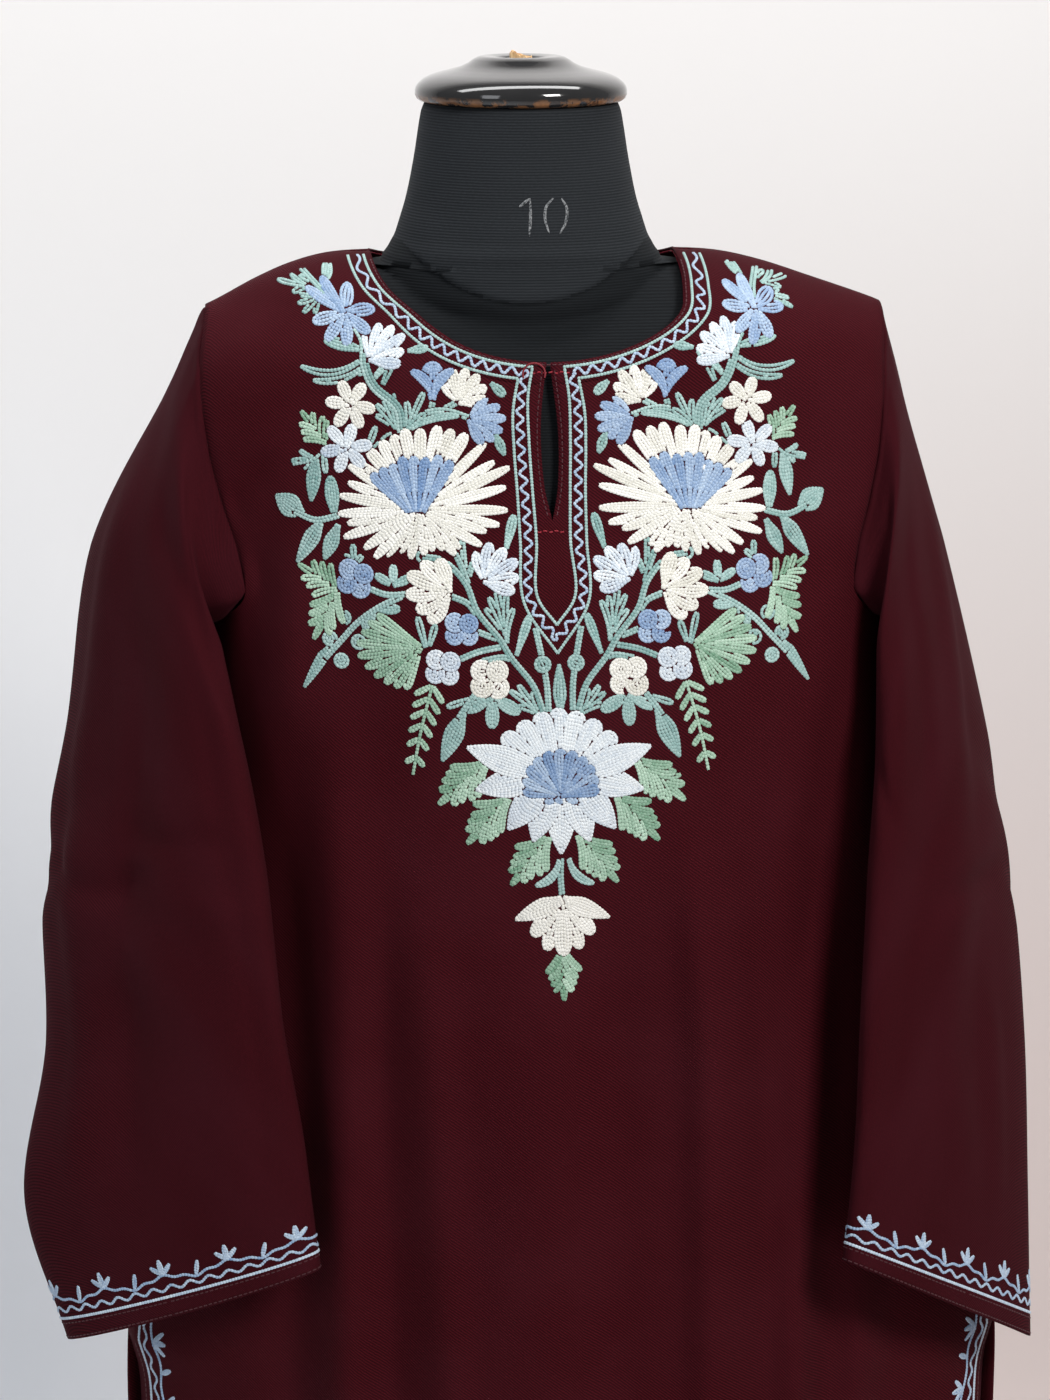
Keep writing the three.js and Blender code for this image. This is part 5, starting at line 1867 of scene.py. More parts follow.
    @staticmethod
    def wave(line: Array, height: float, length: float) -> Array:
        """A wavy row along a line.

        Args:
            line: the line that it follows.
            height: how far it swings to each side.
            length: length of a whole wave.

        Returns:
            The wavy line's points.
        """
        lengths = distance_along(line)
        count = max(1, round(lengths[-1] / length))
        even = np.linspace(0, lengths[-1], count * 12 + 1)
        smoothed = read_along(even, lengths, line)
        ahead = np.gradient(smoothed, axis=0)
        aside = unit(np.stack([-ahead[:, 1], ahead[:, 0]], -1))
        swing = height * np.sin(even / lengths[-1] * count * 2 * math.pi)
        return smoothed + aside * swing[:, None]


# Half of the border round the keyhole, from the neckline to the point below it: x and z
PLACKET_OUTER = ((17, 1338), (20, 1320), (20, 1300), (19, 1277), (18.5, 1250), (18, 1218), (0, 1190))
PLACKET_INNER = (
    (9, 1344), (11.5, 1328), (11.5, 1303), (10.5, 1277), (9.5, 1250), (10.5, 1221), (0, 1205.5)
)
PLACKET_WAVE = ((13, 1342), (16, 1322), (16, 1301), (15, 1277), (14, 1250), (14.5, 1219), (0, 1197.5))

# Motifs of the half towards the wearer's right, from the shoulder down: what is sewn and its numbers
HALF_BOUQUET: list[tuple] = [
    ("star", Thread.BLUE, -115, 1372, 17.5, 8, 100, 0.4),
    ("stem", ((-117, 1377), (-124, 1387), (-131, 1394), (-142, 1397))),
    ("spray", -125, 1386, 118, 11, 3, 70, 3.4),
    ("spray", -127, 1384, 172, 17, 3, 46, 3.4),
    ("bud", -118, 1386, 62, 12, 6, 0.4),
    ("spray", -122, 1381, 205, 20, 4, 44, 3.2),
    ("stem", ((-110, 1367), (-104, 1358), (-102, 1345), (-97, 1334), (-84, 1322), (-82, 1309)), 3),
    ("bud", -103, 1353, 168, 23, 6.5, 0.4),
    ("leaf", -102, 1350, 190, 36, 4.2, 0.16),
    ("leaf", -101, 1346, 198, 31, 4.2, 0.12),
    ("leaf", -101, 1341, 192, 27, 4.2, -0.05),
    ("leaf", -101, 1352, 74, 15, 4.4),
    ("leaf", -97, 1338, 40, 20, 4.6, 0.06),
    ("leaf", -92, 1335, 66, 12, 4.2),
    ("fan", Thread.ICE, -100, 1348, 46, 22, 104),
    ("bud", -79, 1353, 8, 11, 5, 0.4),
    ("tulip", -64, 1327, 92, 20),
    ("fan", Thread.CREAM, -50, 1325, 66, 20, 116),
    ("bud", -32, 1336, -42, 10, 5.6, 0.4),
    ("fan", Thread.BLUE, -45, 1316, -8, 20, 104),
    ("bud", -30, 1308, -68, 12, 5.6, 0.5),
    ("spray", -84, 1309, 112, 25, 5, 62, 3.8),
    ("spray", -80, 1309, 64, 24, 3, 44, 4.0),
    ("leaf", -79, 1310, 16, 30, 4.4, 0.08),
    ("stem", ((-80, 1310), (-70, 1319), (-58, 1321), (-44, 1317))),
    ("stem", ((-66, 1320), (-64, 1327))),
    ("stem", ((-60, 1321), (-50, 1326))),
    ("star", Thread.CREAM, -110, 1324, 13.5, 6, 52, 0.52),
    ("star", Thread.ICE, -113, 1300, 13.5, 6, 70, 0.52),
    ("cut_leaf", -124, 1302, 128, 22, 3, 1.15),
    ("stem", ((-124, 1300), (-132, 1293), (-143, 1290)), 1),
    ("spray", -131, 1294, 190, 13, 3, 70, 3.2),
    ("bud", -130, 1296, 262, 26, 8.2, 0.5),
    ("bud", -126, 1300, 274, 14, 3.8, 0.3),
    ("leaf", -102, 1298, 68, 15, 4.0),
    ("leaf", -100, 1298, 40, 16, 4.0),
    ("stem", ((-112, 1266), (-122, 1262), (-132, 1260), (-143, 1264))),
    ("bud", -138, 1262, 146, 18, 13.5, 0.5),
    ("bud", -121, 1262, 94, 22, 8.0, 0.45),
    ("bud", -128, 1260, 238, 28, 9.0, 0.6),
    ("bud", -119, 1258, 246, 21, 8.4, 0.5),
    ("daisy", -74, 1267),
    ("bud", -27, 1245, 74, 20, 5.6, 0.3),
    ("fan", Thread.ICE, -40, 1229, 42, 22, 118),
    ("cut_leaf", -121, 1222, 148, 25, 3, 1.15),
    ("cut_leaf", -121, 1221, 242, 30, 3, 1.0),
    ("clover", Thread.BLUE, -111, 1229, 5.8, 30),
    ("spray", -111, 1236, 92, 11, 3, 84, 3.8),
    ("trefoil", -90, 1226, 88, 11),
    ("stem", ((-106, 1225), (-94, 1221), (-80, 1222))),
    ("stem", ((-84, 1221), (-98, 1214), (-110, 1205), (-120, 1194), (-129, 1184))),
    ("trefoil", -100, 1213, 300, 13),
    ("berries", ((-118, 1207), (-104, 1197), (-110, 1194), (-126, 1195), (-120, 1183)), 4.4),
    ("bud", -127, 1190, 238, 27, 6.4, 0.75),
    ("fan", Thread.CREAM, -58.5, 1223, 171, 25, 126),
    ("stem", ((-73, 1242), (-62, 1240), (-50, 1228), (-44, 1213), (-32, 1198), (-26, 1188), (-14, 1172),
              (-9, 1158))),
    ("disc", Thread.SAGE, -73, 1242, 3.8),
    ("stem", ((-58, 1250), (-51, 1235), (-46, 1218))),
    ("stem", ((-51, 1254), (-50, 1236))),
    ("stem", ((-43, 1246), (-48, 1232))),
    ("stem", ((-58, 1221), (-49, 1217), (-44, 1210))),
    ("spray", -28, 1196, 100, 32, 5, 44, 4.0),
    ("bud", -23, 1189, 70, 23, 5.2, 0.3),
    ("stem", ((-44, 1202), (-36, 1199), (-28, 1197))),
    ("clover", Thread.BLUE, -53, 1203, 5.5, 45),
    ("stem", ((-56, 1186), (-44, 1191), (-30, 1194))),
    ("clover", Thread.ICE, -64, 1182, 5.7, 40),
    ("stem", ((-42, 1186), (-30, 1188), (-24, 1186))),
    ("clover", Thread.CREAM, -38, 1176, 6.4, 45),
    ("hand", -76, 1193, 186, 36),
    ("leaf", -73, 1193, 104, 17, 4.2),
    ("leaf", -71, 1194, 72, 12, 4.2),
    ("fern", ((-70, 1172), (-74, 1158), (-78, 1142), (-82, 1121)), 6, 11),
    ("stem", ((-46, 1168), (-52, 1160), (-56, 1154))),
    ("leaf", -49, 1165, 200, 14, 4.0),
    ("bud", -53, 1158, 246, 31, 11, 0.55),
    ("trefoil", -37, 1166, 268, 17),
    ("disc", Thread.SAGE, -8.5, 1184, 4.8),
    ("stem", ((-12, 1204), (-10, 1194), (-8.5, 1186), (-6.5, 1172), (-6, 1158))),
    ("spray", -8, 1154, 134, 26, 4, 40, 3.8),
    ("cut_leaf", -40, 1130, 222, 38, 4, 0.85),
    ("cut_leaf", -29, 1109, 228, 36, 4, 0.85),
    ("cut_leaf", -7, 1087, 232, 36, 4, 0.85),
    ("leaf", -2, 1073, 228, 20, 5.2, 0.16, 0.4, 0.4),
]


class Embroidery:
    """All the needlework: the bouquet, the borders, and the sewing of seams and hems."""

    def __init__(self, garment: Garment, sizes: StitchSizes) -> None:
        """Prepares the needlework on a garment with the sizes of its stitches."""
        self.garment = garment
        self.stitcher = Stitcher(sizes, 5)
        self.motifs = Motifs(self.stitcher, garment.front)

    def bouquet(self) -> None:
        """Sews both halves of the bouquet and what lies on the centre line."""
        m = self.motifs
        for m.mirror in (1, -1):
            for kind, *numbers in HALF_BOUQUET:
                getattr(m, kind)(*numbers)
        m.mirror = 1
        m.bud(0.5, 1157, 90, 27, 7.5, 0.6)
        m.lotus(0, 1122)
        m.stem(((-1, 1074), (-1.5, 1064), (-1, 1052)))
        for angle, length, width, tip in ((204, 29, 11.5, 0.6), (-24, 29, 11.5, 0.6), (-90, 33, 10.5, 0.3),
                                          (231, 27, 9.5, 0.3), (-51, 27, 9.5, 0.3), (252, 31, 9, 0.3),
                                          (-72, 31, 9, 0.3)):
            m.petal(Thread.CREAM, (-1, 1050), angle, length, width, 0.4, tip, tone=0.8)
        m.cut_leaf(-1.5, 1022, 270, 32, 4, 0.8)

    def neck_border(self) -> None:
        """Sews the two lines and the wave round the neckline and down the keyhole."""
        m, panel = self.motifs, self.garment.front
        for thread, wide, deep, join, swing in (
            (Thread.SAGE, 4.5, 2.6, PLACKET_INNER, 0.0),
            (Thread.BORDER, 9.0, 5.6, PLACKET_WAVE, 1.9),
            (Thread.SAGE, 13.5, 9.4, PLACKET_OUTER, 0.0),
        ):
            half = NECK_HALF_WIDTH + wide
            for mirror in (-1, 1):
                first = math.asin(join[0][0] / half)
                turn = np.linspace(math.pi / 2 - 0.005, first, 120)
                x = half * np.sin(turn)
                neck = np.stack([mirror * x, panel.neckline(x, NECK_DROP[Side.FRONT] + deep, half)], -1)
                column = catmull(np.array(join, float), np.linspace(0, 1, 140), True)
                column[:, 0] *= mirror
                line = np.vstack([neck, column[1:]])
                if swing:
                    line = m.wave(line, swing, 8.5)
                m.sew(line, thread, 0.62 if thread is Thread.SAGE else 0.5, 0.88)

    def cuff(self, sleeve: Sleeve) -> None:
        """Sews the border round a cuff: line, wave, scallops and sprigs."""
        turns = np.linspace(0, 2 * math.pi, 721)
        ring = sleeve.point(turns, np.full(721, 0.97))
        lengths = distance_along(ring)
        girth = lengths[-1]

        def on_cuff(around: Array, up: Array) -> Array:
            """Turn and way along of distances round the cuff and up from its edge, in mm."""
            turn = np.interp(np.mod(around, girth), lengths, turns) + 2 * math.pi * np.floor(around / girth)
            return np.stack([turn, 1 - np.asarray(up) / sleeve.length], -1)

        def sew(line: Array, tone: float, scale: float) -> None:
            """Sews one row of the border."""
            self.stitcher.row(line, Thread.BORDER, tone, sleeve, scale)

        rng = self.motifs.rng
        around = np.linspace(0, girth, 500)
        sew(on_cuff(around, 13 + 0 * around), 0.72, 0.9)
        phase = around / girth * round(girth / 13) * 2 * math.pi
        sew(on_cuff(around, 18.5 + 1.5 * np.sin(phase)), 0.45, 0.9)
        scallops = round(girth / 44)
        phase = around / girth * scallops * 2 * math.pi
        sew(on_cuff(around, 24.5 + 1.9 * np.cos(phase) + 0.8 * np.cos(3 * phase)), 0.3, 0.9)
        for i in range(scallops * 2):
            middle = girth * i / (2 * scallops)
            if i % 2 == 0:
                for lean, long in ((-0.8, 8.0), (0.0, 10.0), (0.8, 8.0)):
                    t = np.linspace(0, 1, 9)
                    for edge in (-1.2, 0.0, 1.2):
                        bow = edge * np.sin(math.pi * t) ** 0.7
                        up = 27 + long * t * (1 - 0.25 * abs(lean))
                        line = on_cuff(middle + lean * long * t + bow, up)
                        sew(line, 0.55 + rng.normal(0, 0.1), 0.8)
            else:
                t = np.linspace(0, 1, 8)
                for edge in (-0.8, 0.8):
                    bow = edge * np.sin(math.pi * t) ** 0.7
                    line = on_cuff(middle + 3.0 * t + bow, 22.5 + 9.0 * t)
                    sew(line, 0.5 + rng.normal(0, 0.1), 0.8)
        for up in (10, 1.6):
            self.sewn_line(on_cuff(around, up + 0 * around), sleeve)

    def sewn_line(self, line: Array, surface: Surface, thread: Thread = Thread.SEAM) -> None:
        """Sews a line of short separate stitches in sewing thread."""
        points = surface.point(line[:, 0], line[:, 1])
        lengths = distance_along(points)
        s = self.stitcher.sizes
        for start in np.arange(0.5, lengths[-1] - s.plain_stitch - 0.5, s.plain_step):
            part = np.linspace(start, start + s.plain_stitch, 4)
            self.stitcher.row(read_along(part, lengths, line), thread, 0.5, surface, s.plain_scale)

    def edge_line(self, panel: Panel, mirror: int, inward: float, heights: Array) -> Array:
        """A line down a panel at an even distance from its open side edge.

        Args:
            panel: front or back.
            mirror: 1 or -1 for the side.
            inward: distance from the edge along the cloth, mm.
            heights: z of its points.

        Returns:
            Places x and z.
        """
        places = []
        for z, reach in zip(heights, np.broadcast_to(inward, heights.shape)):
            x = float(panel.half_width(z)) - 0.2 - np.linspace(0, 70, 141)
            lengths = distance_along(panel.plain_point(x, np.full(141, z)))
            places.append((mirror * np.interp(reach, lengths, x), z))
        return np.array(places)

    def slit_border(self, panel: Panel, mirror: int) -> None:
        """Sews line, wave and vine beside one open side edge, from the slit's top to the hem."""
        thread, sew = Thread.BORDER, self.stitcher.row
        heights = np.linspace(778, HEM_Z + 20, 180)
        straight = self.edge_line(panel, mirror, 15.0, heights)
        sew(straight, thread, 0.72, panel, 0.9)
        length = heights[0] - heights[-1]
        down = (heights[0] - heights) / length
        wave = 20.8 + 1.9 * np.sin(down * round(length / 13) * 2 * math.pi)
        sew(self.edge_line(panel, mirror, wave, heights), thread, 0.45, panel, 0.9)
        bows = round(length / 40)
        vine = 28.0 + 2.4 * np.cos(down * bows * 2 * math.pi)
        sew(self.edge_line(panel, mirror, vine, heights), thread, 0.3, panel, 0.9)
        for i in range(2 * bows):
            z = heights[0] - length * (i + 0.5) / (2 * bows)
            leans = (-0.8, 0.0, 0.8) if i % 2 else (0.45,)
            for lean in leans:
                t = np.linspace(0, 1, 8)
                for side in (-1.2, 0.0, 1.2):
                    reach = 28.5 + 10 * t * (1 - 0.25 * abs(lean))
                    rise = z + lean * 9 * t + side * np.sin(math.pi * t) ** 0.7
                    sew(self.edge_line(panel, mirror, reach, rise), thread,
                        0.5 + self.motifs.rng.normal(0, 0.1), panel, 0.8)
        low = np.linspace(SIDE_SLIT_Z - 4, HEM_Z + 14, 120)
        self.sewn_line(self.edge_line(panel, mirror, 9.0, low), panel)

    def sewing(self) -> None:
        """Sews hems, neck edge and the tacks of the keyhole."""
        front, back = self.garment.front, self.garment.back
        for panel in (front, back):
            across = np.linspace(-0.97, 0.97, 240) * float(panel.half_width(HEM_Z))
            self.sewn_line(np.stack([across, np.full(240, HEM_Z + 13.0)], -1), panel)
            turn = np.linspace(-math.pi / 2 + 0.05, math.pi / 2 - 0.05, 160)
            x = (NECK_HALF_WIDTH + 1.2) * np.sin(turn)
            z = panel.neckline(x, NECK_DROP[panel.side] + 1.4, NECK_HALF_WIDTH + 1.2)
            self.sewn_line(np.stack([x, z], -1), panel)
        z = np.linspace(1343, 1262, 50)
        for mirror in (-1, 1):
            x = mirror * (Panel.keyhole.at(z, 0) + 2.0)
            self.sewn_line(np.stack([x, z], -1), front)
        for left, right, height in ((-9, 9, 1255.5), (-13, 15, 1341.5)):
            x = np.linspace(left, right, 12)
            self.sewn_line(np.stack([x, height + 0.5 * np.sin(x)], -1), front, Thread.TACK)

    def keyhole_loop(self) -> None:
        """Makes the small thread loop that stands at the top of the keyhole."""
        curve = bpy.data.curves.new("keyhole_loop", "CURVE")
        curve.dimensions, curve.bevel_depth, curve.bevel_resolution = "3D", 0.55 * MM, 3
        spline = curve.splines.new("POLY")
        turn = np.linspace(-0.35, math.pi * 1.12, 26)
        x = -8.0 + 6.2 * np.cos(turn)
        z = 1341.0 + 6.0 * np.sin(turn)
        base = self.garment.front.point(x, np.minimum(z, 1343.5)) + np.array([0, -1.3, 0])
        base[:, 2] = z
        spline.points.add(len(base) - 1)
        for point, place in zip(spline.points, base * MM):
            point.co = (*place, 1)
        loop = add_piece("keyhole_loop", curve, SILKS[Thread.TACK].make())
        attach(loop, "root")

    def build(self) -> None:
        """Sews everything and makes the pieces."""
        self.neck_border()
        self.bouquet()
        for sleeve in (self.garment.left, self.garment.right):
            self.cuff(sleeve)
        for panel in (self.garment.front, self.garment.back):
            for mirror in (1, -1):
                self.slit_border(panel, mirror)
        self.sewing()
        self.stitcher.build("embroidery_thread")
        self.keyhole_loop()


# ---------------------------------------------------------------- the form and its stand


@dataclass(frozen=True)
class FormSizes:
    """Mesh counts of the form, and its clearances under the cloth in mm."""

    sides: int = 192
    ease: float = 5.5
    drop_neck: float = 5.4
    drop_shoulder: float = 3.2
    cap_sides: int = 96


class DressForm:
    """The padded torso with its jersey cover, the turned cap, the stub and the stand."""

    torso = Table(TORSO)
    throat = Table(NECK)

    def __init__(self, sizes: FormSizes, front: Panel, back: Panel) -> None:
        """Keeps the sizes and the panels that hang over the form."""
        self.sizes = sizes
        self.panels = {Side.FRONT: front, Side.BACK: back}

    def ridge(self, place: Array) -> Array:
        """Height of the form's shoulder under a place of the garment."""
        s = self.sizes
        drop = blend(s.drop_neck, s.drop_shoulder, smooth(112, 160, place))
        return self.panels[Side.FRONT].shoulder(place) - drop

    def reach(self, z: float) -> float:
        """Half-width of the form at a height."""
        least, reach = float(self.throat.at(z, 0)), float(self.torso.at(z, 0))
        centre = float(Panel.body.at(z, 4))
        while reach > least and self.ridge(reach + centre) < z:
            reach -= 0.1
        return reach

    def depth(self, side: Side, x: Array, z: float) -> Array:
        """Depth of the form at distances from its axis.

        Args:
            side: front or back.
            x: distances from the axis in mm.
            z: height in mm.

        Returns:
            The depths in mm.
        """
        column = 1 if side is Side.FRONT else 2
        place = np.abs(x) + Panel.body.at(z, 4)
        nape = blend(NAPE_ROUND, SHOULDER_ROUND, smooth(NAPE_EDGE, SHOULDER_EDGE, place))
        turn = SHOULDER_ROUND if side is Side.FRONT else nape
        up = 1 - np.clip(self.ridge(place) - z, 0, turn) / turn
        power = float(Panel.body.at(z, 3))
        across = np.minimum(place / self.panels[side].half_width(z), 1)
        under = (Panel.body.at(z, column) - self.sizes.ease) * (1 - across**power) ** (1 / power)
        own_power = float(self.torso.at(z, 3))
        own = np.minimum(np.abs(x) / self.torso.at(z, 0), 1)
        torso = self.torso.at(z, column) * (1 - own**own_power) ** (1 / own_power)
        padded = np.minimum(under * np.sqrt(1 - up * up), torso)
        round_neck = np.sqrt(np.maximum(1 - (x / self.throat.at(z, 0)) ** 2, 0))
        return padded if z < NECK[-1][0] else np.maximum(padded, self.throat.at(z, column) * round_neck)

    @staticmethod
    def neck_seam(x: Array, y: Array) -> Array:
        """Height of the seam between the neck's and the torso's cover at places round the neck."""
        share = np.minimum((x / 69) ** 2, 1)
        return np.where(y < 0, 1378 + 31 * share, 1409 + 8 * (1 - share))

    def ring(self, z: float) -> Array:
        """One level ring of the cover with the neck's cover lapped over the torso's, in mm."""
        points = self.plain_ring(z)
        above = z - self.neck_seam(points[:, 0], points[:, 1])
        ditch = 0.7 * np.exp(-(((above + 1.4) / 1.6) ** 2))
        lap = 1.7 * smooth(-0.4, 1.2, above) * smooth(34, 8, above) - ditch
        if 1365 < z < 1455:
            points[:, :2] += unit(points[:, :2]) * (lap * smooth(74, 48, np.abs(points[:, 0])))[:, None]
        return points

    def plain_ring(self, z: float) -> Array:
        """One level ring of the form, in mm."""
        angle = np.linspace(0, 2 * math.pi, self.sizes.sides + 1)
        if z >= NECK_FOOT_Z:
            sunk = 0.35 * math.exp(-(((z - 1410) / 3.5) ** 2)) - 0.4 * math.exp(-(((z - 1420) / 6) ** 2))
            depth = np.where(np.sin(angle) < 0, self.throat.at(z, 1), self.throat.at(z, 2)) - sunk
            half = float(self.throat.at(z, 0)) - sunk
            return np.stack([half * np.cos(angle), depth * np.sin(angle), np.full(len(angle), z)], -1)
        x = self.reach(z) * np.cos(angle)
        front, back = self.depth(Side.FRONT, x, z), self.depth(Side.BACK, x, z)
        y = np.where(np.sin(angle) < 0, -front, back)
        y[np.abs(np.sin(angle)) < 1e-9] = 0
        return np.stack([x, y, np.full(len(x), z)], -1)

    def cover(self) -> None:
        """Makes the jersey cover over the torso and neck, closed below; below the neck seam it takes a
        darker copy of the jersey, painted shade under the garment's neckline.
        """
        heights = np.concatenate([
            [FORM_FOOT_Z, 724.8, 727, 731, 738, 750],
            np.linspace(765, 1330, 70),
            np.linspace(1336, 1370, 10),
            np.arange(1371.2, 1383.5, 1.2),
            [1384, 1385.5, 1387, 1388.5, 1390, 1391.2, 1392.4, 1393.4, 1394.4, 1395.2],
            np.linspace(NECK_FOOT_Z, 1420, 18),
            np.linspace(1422, 1480, 28),
            [1482.5, FORM_TOP_Z],
        ])
        points = np.array([self.ring(z) for z in heights]).transpose(1, 0, 2) * MM
        uvs = sheet_uv(points)
        uvs[..., 1] = points[..., 2]
        bm = bmesh.new()
        add_grid(bm, points, uvs, True)
        bmesh.ops.remove_doubles(bm, verts=bm.verts, dist=WELD)
        for z in (FORM_FOOT_Z, FORM_TOP_Z):
            rims = [edge for edge in bm.edges if edge.is_boundary]
            rim = [edge for edge in rims if abs(edge.verts[0].co.z - z * MM) < 1e-6]
            bmesh.ops.holes_fill(bm, edges=rim, sides=0)
        bmesh.ops.recalc_face_normals(bm, faces=bm.faces)
        # Faces below the neck seam take the second, darker jersey: painted shade under the garment's
        # neckline
        for face in bm.faces:
            x, y, z = face.calc_center_median() / MM
            face.material_index = int(z < self.neck_seam(x, y))
        piece = mesh_object("form_cover", bm, Jersey().make())
        # darker copy of the jersey: painted shade
        piece.data.materials.append(Jersey("black_jersey_torso_painted_shadow", "0C0E10", "1A1D20", "1E2124").make())
        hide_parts("form_torso")
        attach(piece, "root")

    def cap(self) -> None:
        """Makes the turned cap by spinning its profile round the axis."""
        bm = bmesh.new()
        verts = [bm.verts.new((radius * MM, 0, (CAP_FOOT_Z + high) * MM)) for radius, high in CAP]
        edges = [bm.edges.new(pair) for pair in zip(verts[:-1], verts[1:])]
        bmesh.ops.spin(bm, geom=verts + edges, cent=(0, 0, 0), axis=(0, 0, 1), angle=2 * math.pi,
                       steps=self.sizes.cap_sides, use_merge=True)
        bmesh.ops.remove_doubles(bm, verts=bm.verts, dist=1e-6)
        bmesh.ops.recalc_face_normals(bm, faces=bm.faces)
        piece = mesh_object("cap_turned", bm, Lacquer().make())
        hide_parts("neck_cap")
        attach(piece, "root")

    def chalk(self) -> None:
        """Draws a plain size number, 10, in thin chalk strokes on the neck."""
        strokes = (
            ((-4.3, 1431.5), (1.6, 1436.2)),
            ((1.8, 1436.4), (2.0, 1426.0), (1.3, 1415.4)),
            ((14.9, 1436.2), (10.9, 1431.5), (10.2, 1424.8), (12.5, 1416.8)),
            ((19.6, 1436.0), (22.6, 1430.0), (21.9, 1423.1), (18.4, 1416.4)),
        )
        bm = bmesh.new()
        share = np.linspace(0, 1, 26)
        for stroke in strokes:
            line = np.array(stroke)
            straight = line[0] + np.outer(share, line[1] - line[0])
            line = catmull(line, share, True) if len(line) > 2 else straight
            ahead = np.gradient(line, axis=0)
            aside = unit(np.stack([-ahead[:, 1], ahead[:, 0]], -1))
            wide = 0.85 * np.sqrt(np.sin(math.pi * (0.04 + 0.92 * share)))
            flat = np.array([line + side * aside * wide[:, None] for side in (-1, 0, 1)])
            points = np.empty((*flat.shape[:2], 3))
            for place, (x, z) in zip(points.reshape(-1, 3), flat.reshape(-1, 2)):
                ring = self.ring(z)
                ring = ring[ring[:, 1] < 0]
                ring = ring[np.argsort(ring[:, 0])]
                place[:] = x, np.interp(x, ring[:, 0], ring[:, 1]) - 0.22, z
            points *= MM
            add_grid(bm, points, sheet_uv(points), True)
        bmesh.ops.recalc_face_normals(bm, faces=bm.faces)
        piece = mesh_object("chalk_number", bm, Chalk().make())
        thicken(piece, 0.15 * MM)
        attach(piece, "root")

    def stub(self) -> None:
        """Makes the broken peg: a small block whose top is splintered unevenly."""
        rng = np.random.default_rng(7)
        bm = bmesh.new()
        made = bmesh.ops.create_grid(bm, x_segments=12, y_segments=8, size=0.5)
        for vert in made["verts"]:
            x, y = vert.co.x * 12.8, vert.co.y * 8.6
            edge = max(abs(vert.co.x), abs(vert.co.y)) * 2
            high = 4.0 + 2.6 * math.exp(-(((x + 4.4) / 2.6) ** 2)) - 0.8 * (x > 3) + rng.normal(0, 0.45)
            round_off = 1 - 0.12 * max(abs(vert.co.x * vert.co.y) * 4 - 0.55, 0)
            z = STUB_FOOT_Z + min(max(high - 0.5 * edge, 2.2), 6.9)
            vert.co = Vector((x * round_off, y * round_off, z)) * MM
        skin = bmesh.ops.extrude_edge_only(bm, edges=[edge for edge in bm.edges if edge.is_boundary])
        for vert in (part for part in skin["geom"] if isinstance(part, bmesh.types.BMVert)):
            vert.co.z = STUB_FOOT_Z * MM
        bmesh.ops.holes_fill(bm, edges=[edge for edge in bm.edges if edge.is_boundary], sides=0)
        bmesh.ops.recalc_face_normals(bm, faces=bm.faces)
        piece = mesh_object("stub_wood", bm, RawWood().make(), smooth_faces=False)
        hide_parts("cap_stub")
        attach(piece, "root")

    def dress_stand(self, frame: dict) -> None:
        """Gives the pole, its collar and the base of the loaded frame their finishes."""
        steel = Metal("satin_steel_tube", "A9ACB0", 1.0, 0.34, 900.0).make()
        enamel = Metal("black_satin_enamel", "1C1D20", 0.0, 0.42, 40.0).make()
        for name, finish in (("stand_pole", steel), ("pole_collar", enamel), ("stand_base", enamel)):
            for holder in frame["nodes"][name].material_slots:
                holder.material = finish

    def build(self, frame: dict) -> None:
        """Makes every piece of the form."""
        self.cover()
        self.cap()
        self.stub()
        self.chalk()
        self.dress_stand(frame)


# ---------------------------------------------------------------- the studio

LENS_MM = 100.8
SENSOR_MM = 36.0
CAMERA_PLACE = (-0.115459, -2.247037, 1.655)
CAMERA_TILT = 77.0
CAMERA_TURN = -3.0


@dataclass(frozen=True)
class Lamp:
    """A soft rectangular lamp that looks at a point.

    Attributes:
        name: its name.
        place: where it hangs, m.
        aim: what it looks at, m.
        size: width and height, m.
        power: watts.
        colour: its tint, linear.
    """

    name: str
    place: tuple[float, float, float]
    aim: tuple[float, float, float]
    size: tuple[float, float]
    power: float
    colour: tuple[float, float, float] = (1.0, 1.0, 1.0)

    def hang(self) -> None:
        """Puts the lamp in the scene."""
        data = bpy.data.lights.new(self.name, "AREA")
        data.shape, data.size, data.size_y = "RECTANGLE", self.size[0], self.size[1]
        data.energy, data.color = self.power, self.colour
        lamp = bpy.data.objects.new(self.name, data)
        lamp.location = self.place
        lamp.rotation_euler = (Vector(self.aim) - Vector(self.place)).to_track_quat("-Z", "Y").to_euler()
        bpy.context.scene.collection.objects.link(lamp)


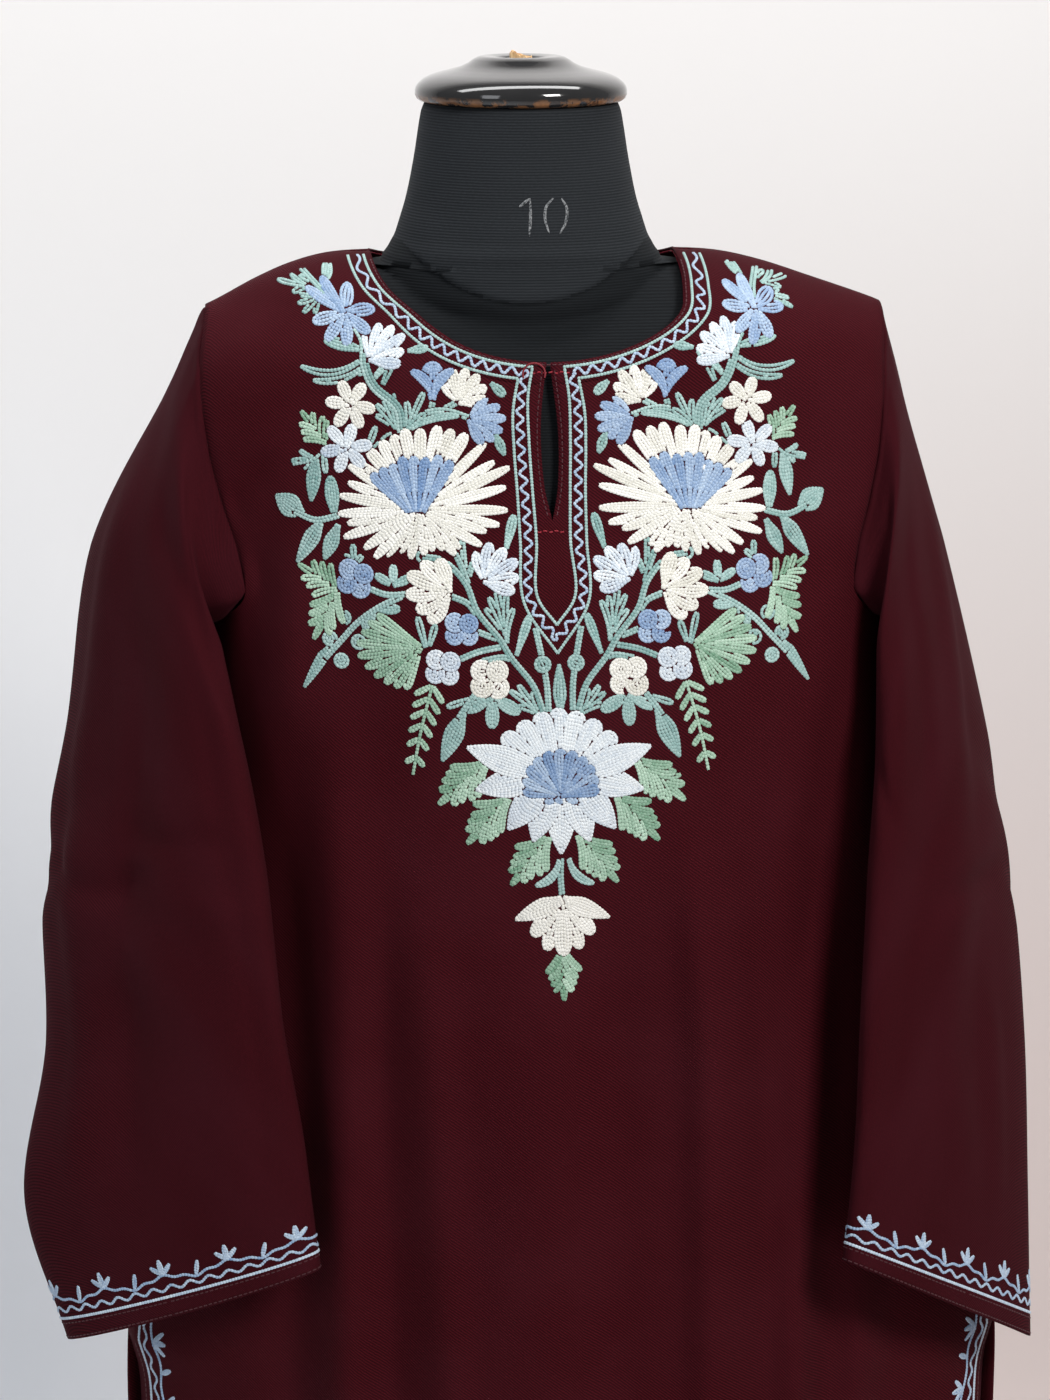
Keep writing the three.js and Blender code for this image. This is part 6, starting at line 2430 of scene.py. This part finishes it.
class Studio:
    """Wall and floor in one swept sheet, the lamps, the world and the camera."""

    lamps = (
        Lamp("key", (1.35, -2.1, 2.7), (0.0, 0.0, 1.2), (0.8, 0.7), 66.0, (1.0, 0.985, 0.96)),
        Lamp("fill", (-1.6, -2.2, 2.0), (-0.15, 0.1, 1.2), (0.9, 1.4), 11.0, (0.93, 0.96, 1.0)),
        Lamp("wall_wash", (-0.35, 0.05, 2.7), (-0.5, 0.95, 0.9), (2.4, 0.4), 26.0),
    )

    def build(self) -> None:
        """Makes the studio round the origin."""
        self.backdrop()
        for lamp in self.lamps:
            lamp.hang()
        bpy.context.scene.view_settings.view_transform = "Standard"
        world = bpy.data.worlds.new("studio_air")
        world.use_nodes = True
        background = world.node_tree.nodes["Background"]
        background.inputs["Color"].default_value = linear("E9ECF2")
        background.inputs["Strength"].default_value = 0.26
        bpy.context.scene.world = world
        self.camera()

    def backdrop(self) -> None:
        """Sweeps the floor up into the wall behind the form."""
        wall_y, bend, half_width, height = 0.95, 0.35, 3.2, 3.4
        profile = [(-half_width, 0.0), (wall_y - bend, 0.0)]
        for i in range(1, 13):
            angle = math.pi / 2 * i / 12
            profile.append((wall_y - bend + bend * math.sin(angle), bend - bend * math.cos(angle)))
        profile.append((wall_y, height))
        bm = bmesh.new()
        verts = [bm.verts.new((-half_width, y, z - 0.5 * MM)) for y, z in profile]
        edges = [bm.edges.new(pair) for pair in zip(verts[:-1], verts[1:])]
        swept = bmesh.ops.extrude_edge_only(bm, edges=edges)
        moved = [part for part in swept["geom"] if isinstance(part, bmesh.types.BMVert)]
        bmesh.ops.translate(bm, verts=moved, vec=(2 * half_width, 0, 0))
        bmesh.ops.recalc_face_normals(bm, faces=bm.faces)
        mesh_object("backdrop", bm, Wall().make())

    def camera(self) -> None:
        """Sets the camera."""
        data = bpy.data.cameras.new("camera")
        data.lens, data.sensor_width, data.sensor_fit = LENS_MM, SENSOR_MM, "AUTO"
        camera = bpy.data.objects.new("camera", data)
        camera.location = CAMERA_PLACE
        camera.rotation_euler = (math.radians(CAMERA_TILT), 0, math.radians(CAMERA_TURN))
        bpy.context.scene.collection.objects.link(camera)
        bpy.context.scene.camera = camera


# ---------------------------------------------------------------- putting it together


def main() -> None:
    """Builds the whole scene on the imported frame."""
    logging.basicConfig(level=logging.INFO, format="%(name)s: %(message)s")
    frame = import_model()
    Studio().build()
    garment = Garment(GarmentSizes())
    garment.build()
    Embroidery(garment, StitchSizes()).build()
    DressForm(FormSizes(), garment.front, garment.back).build(frame)


if __name__ == "__main__":
    main()
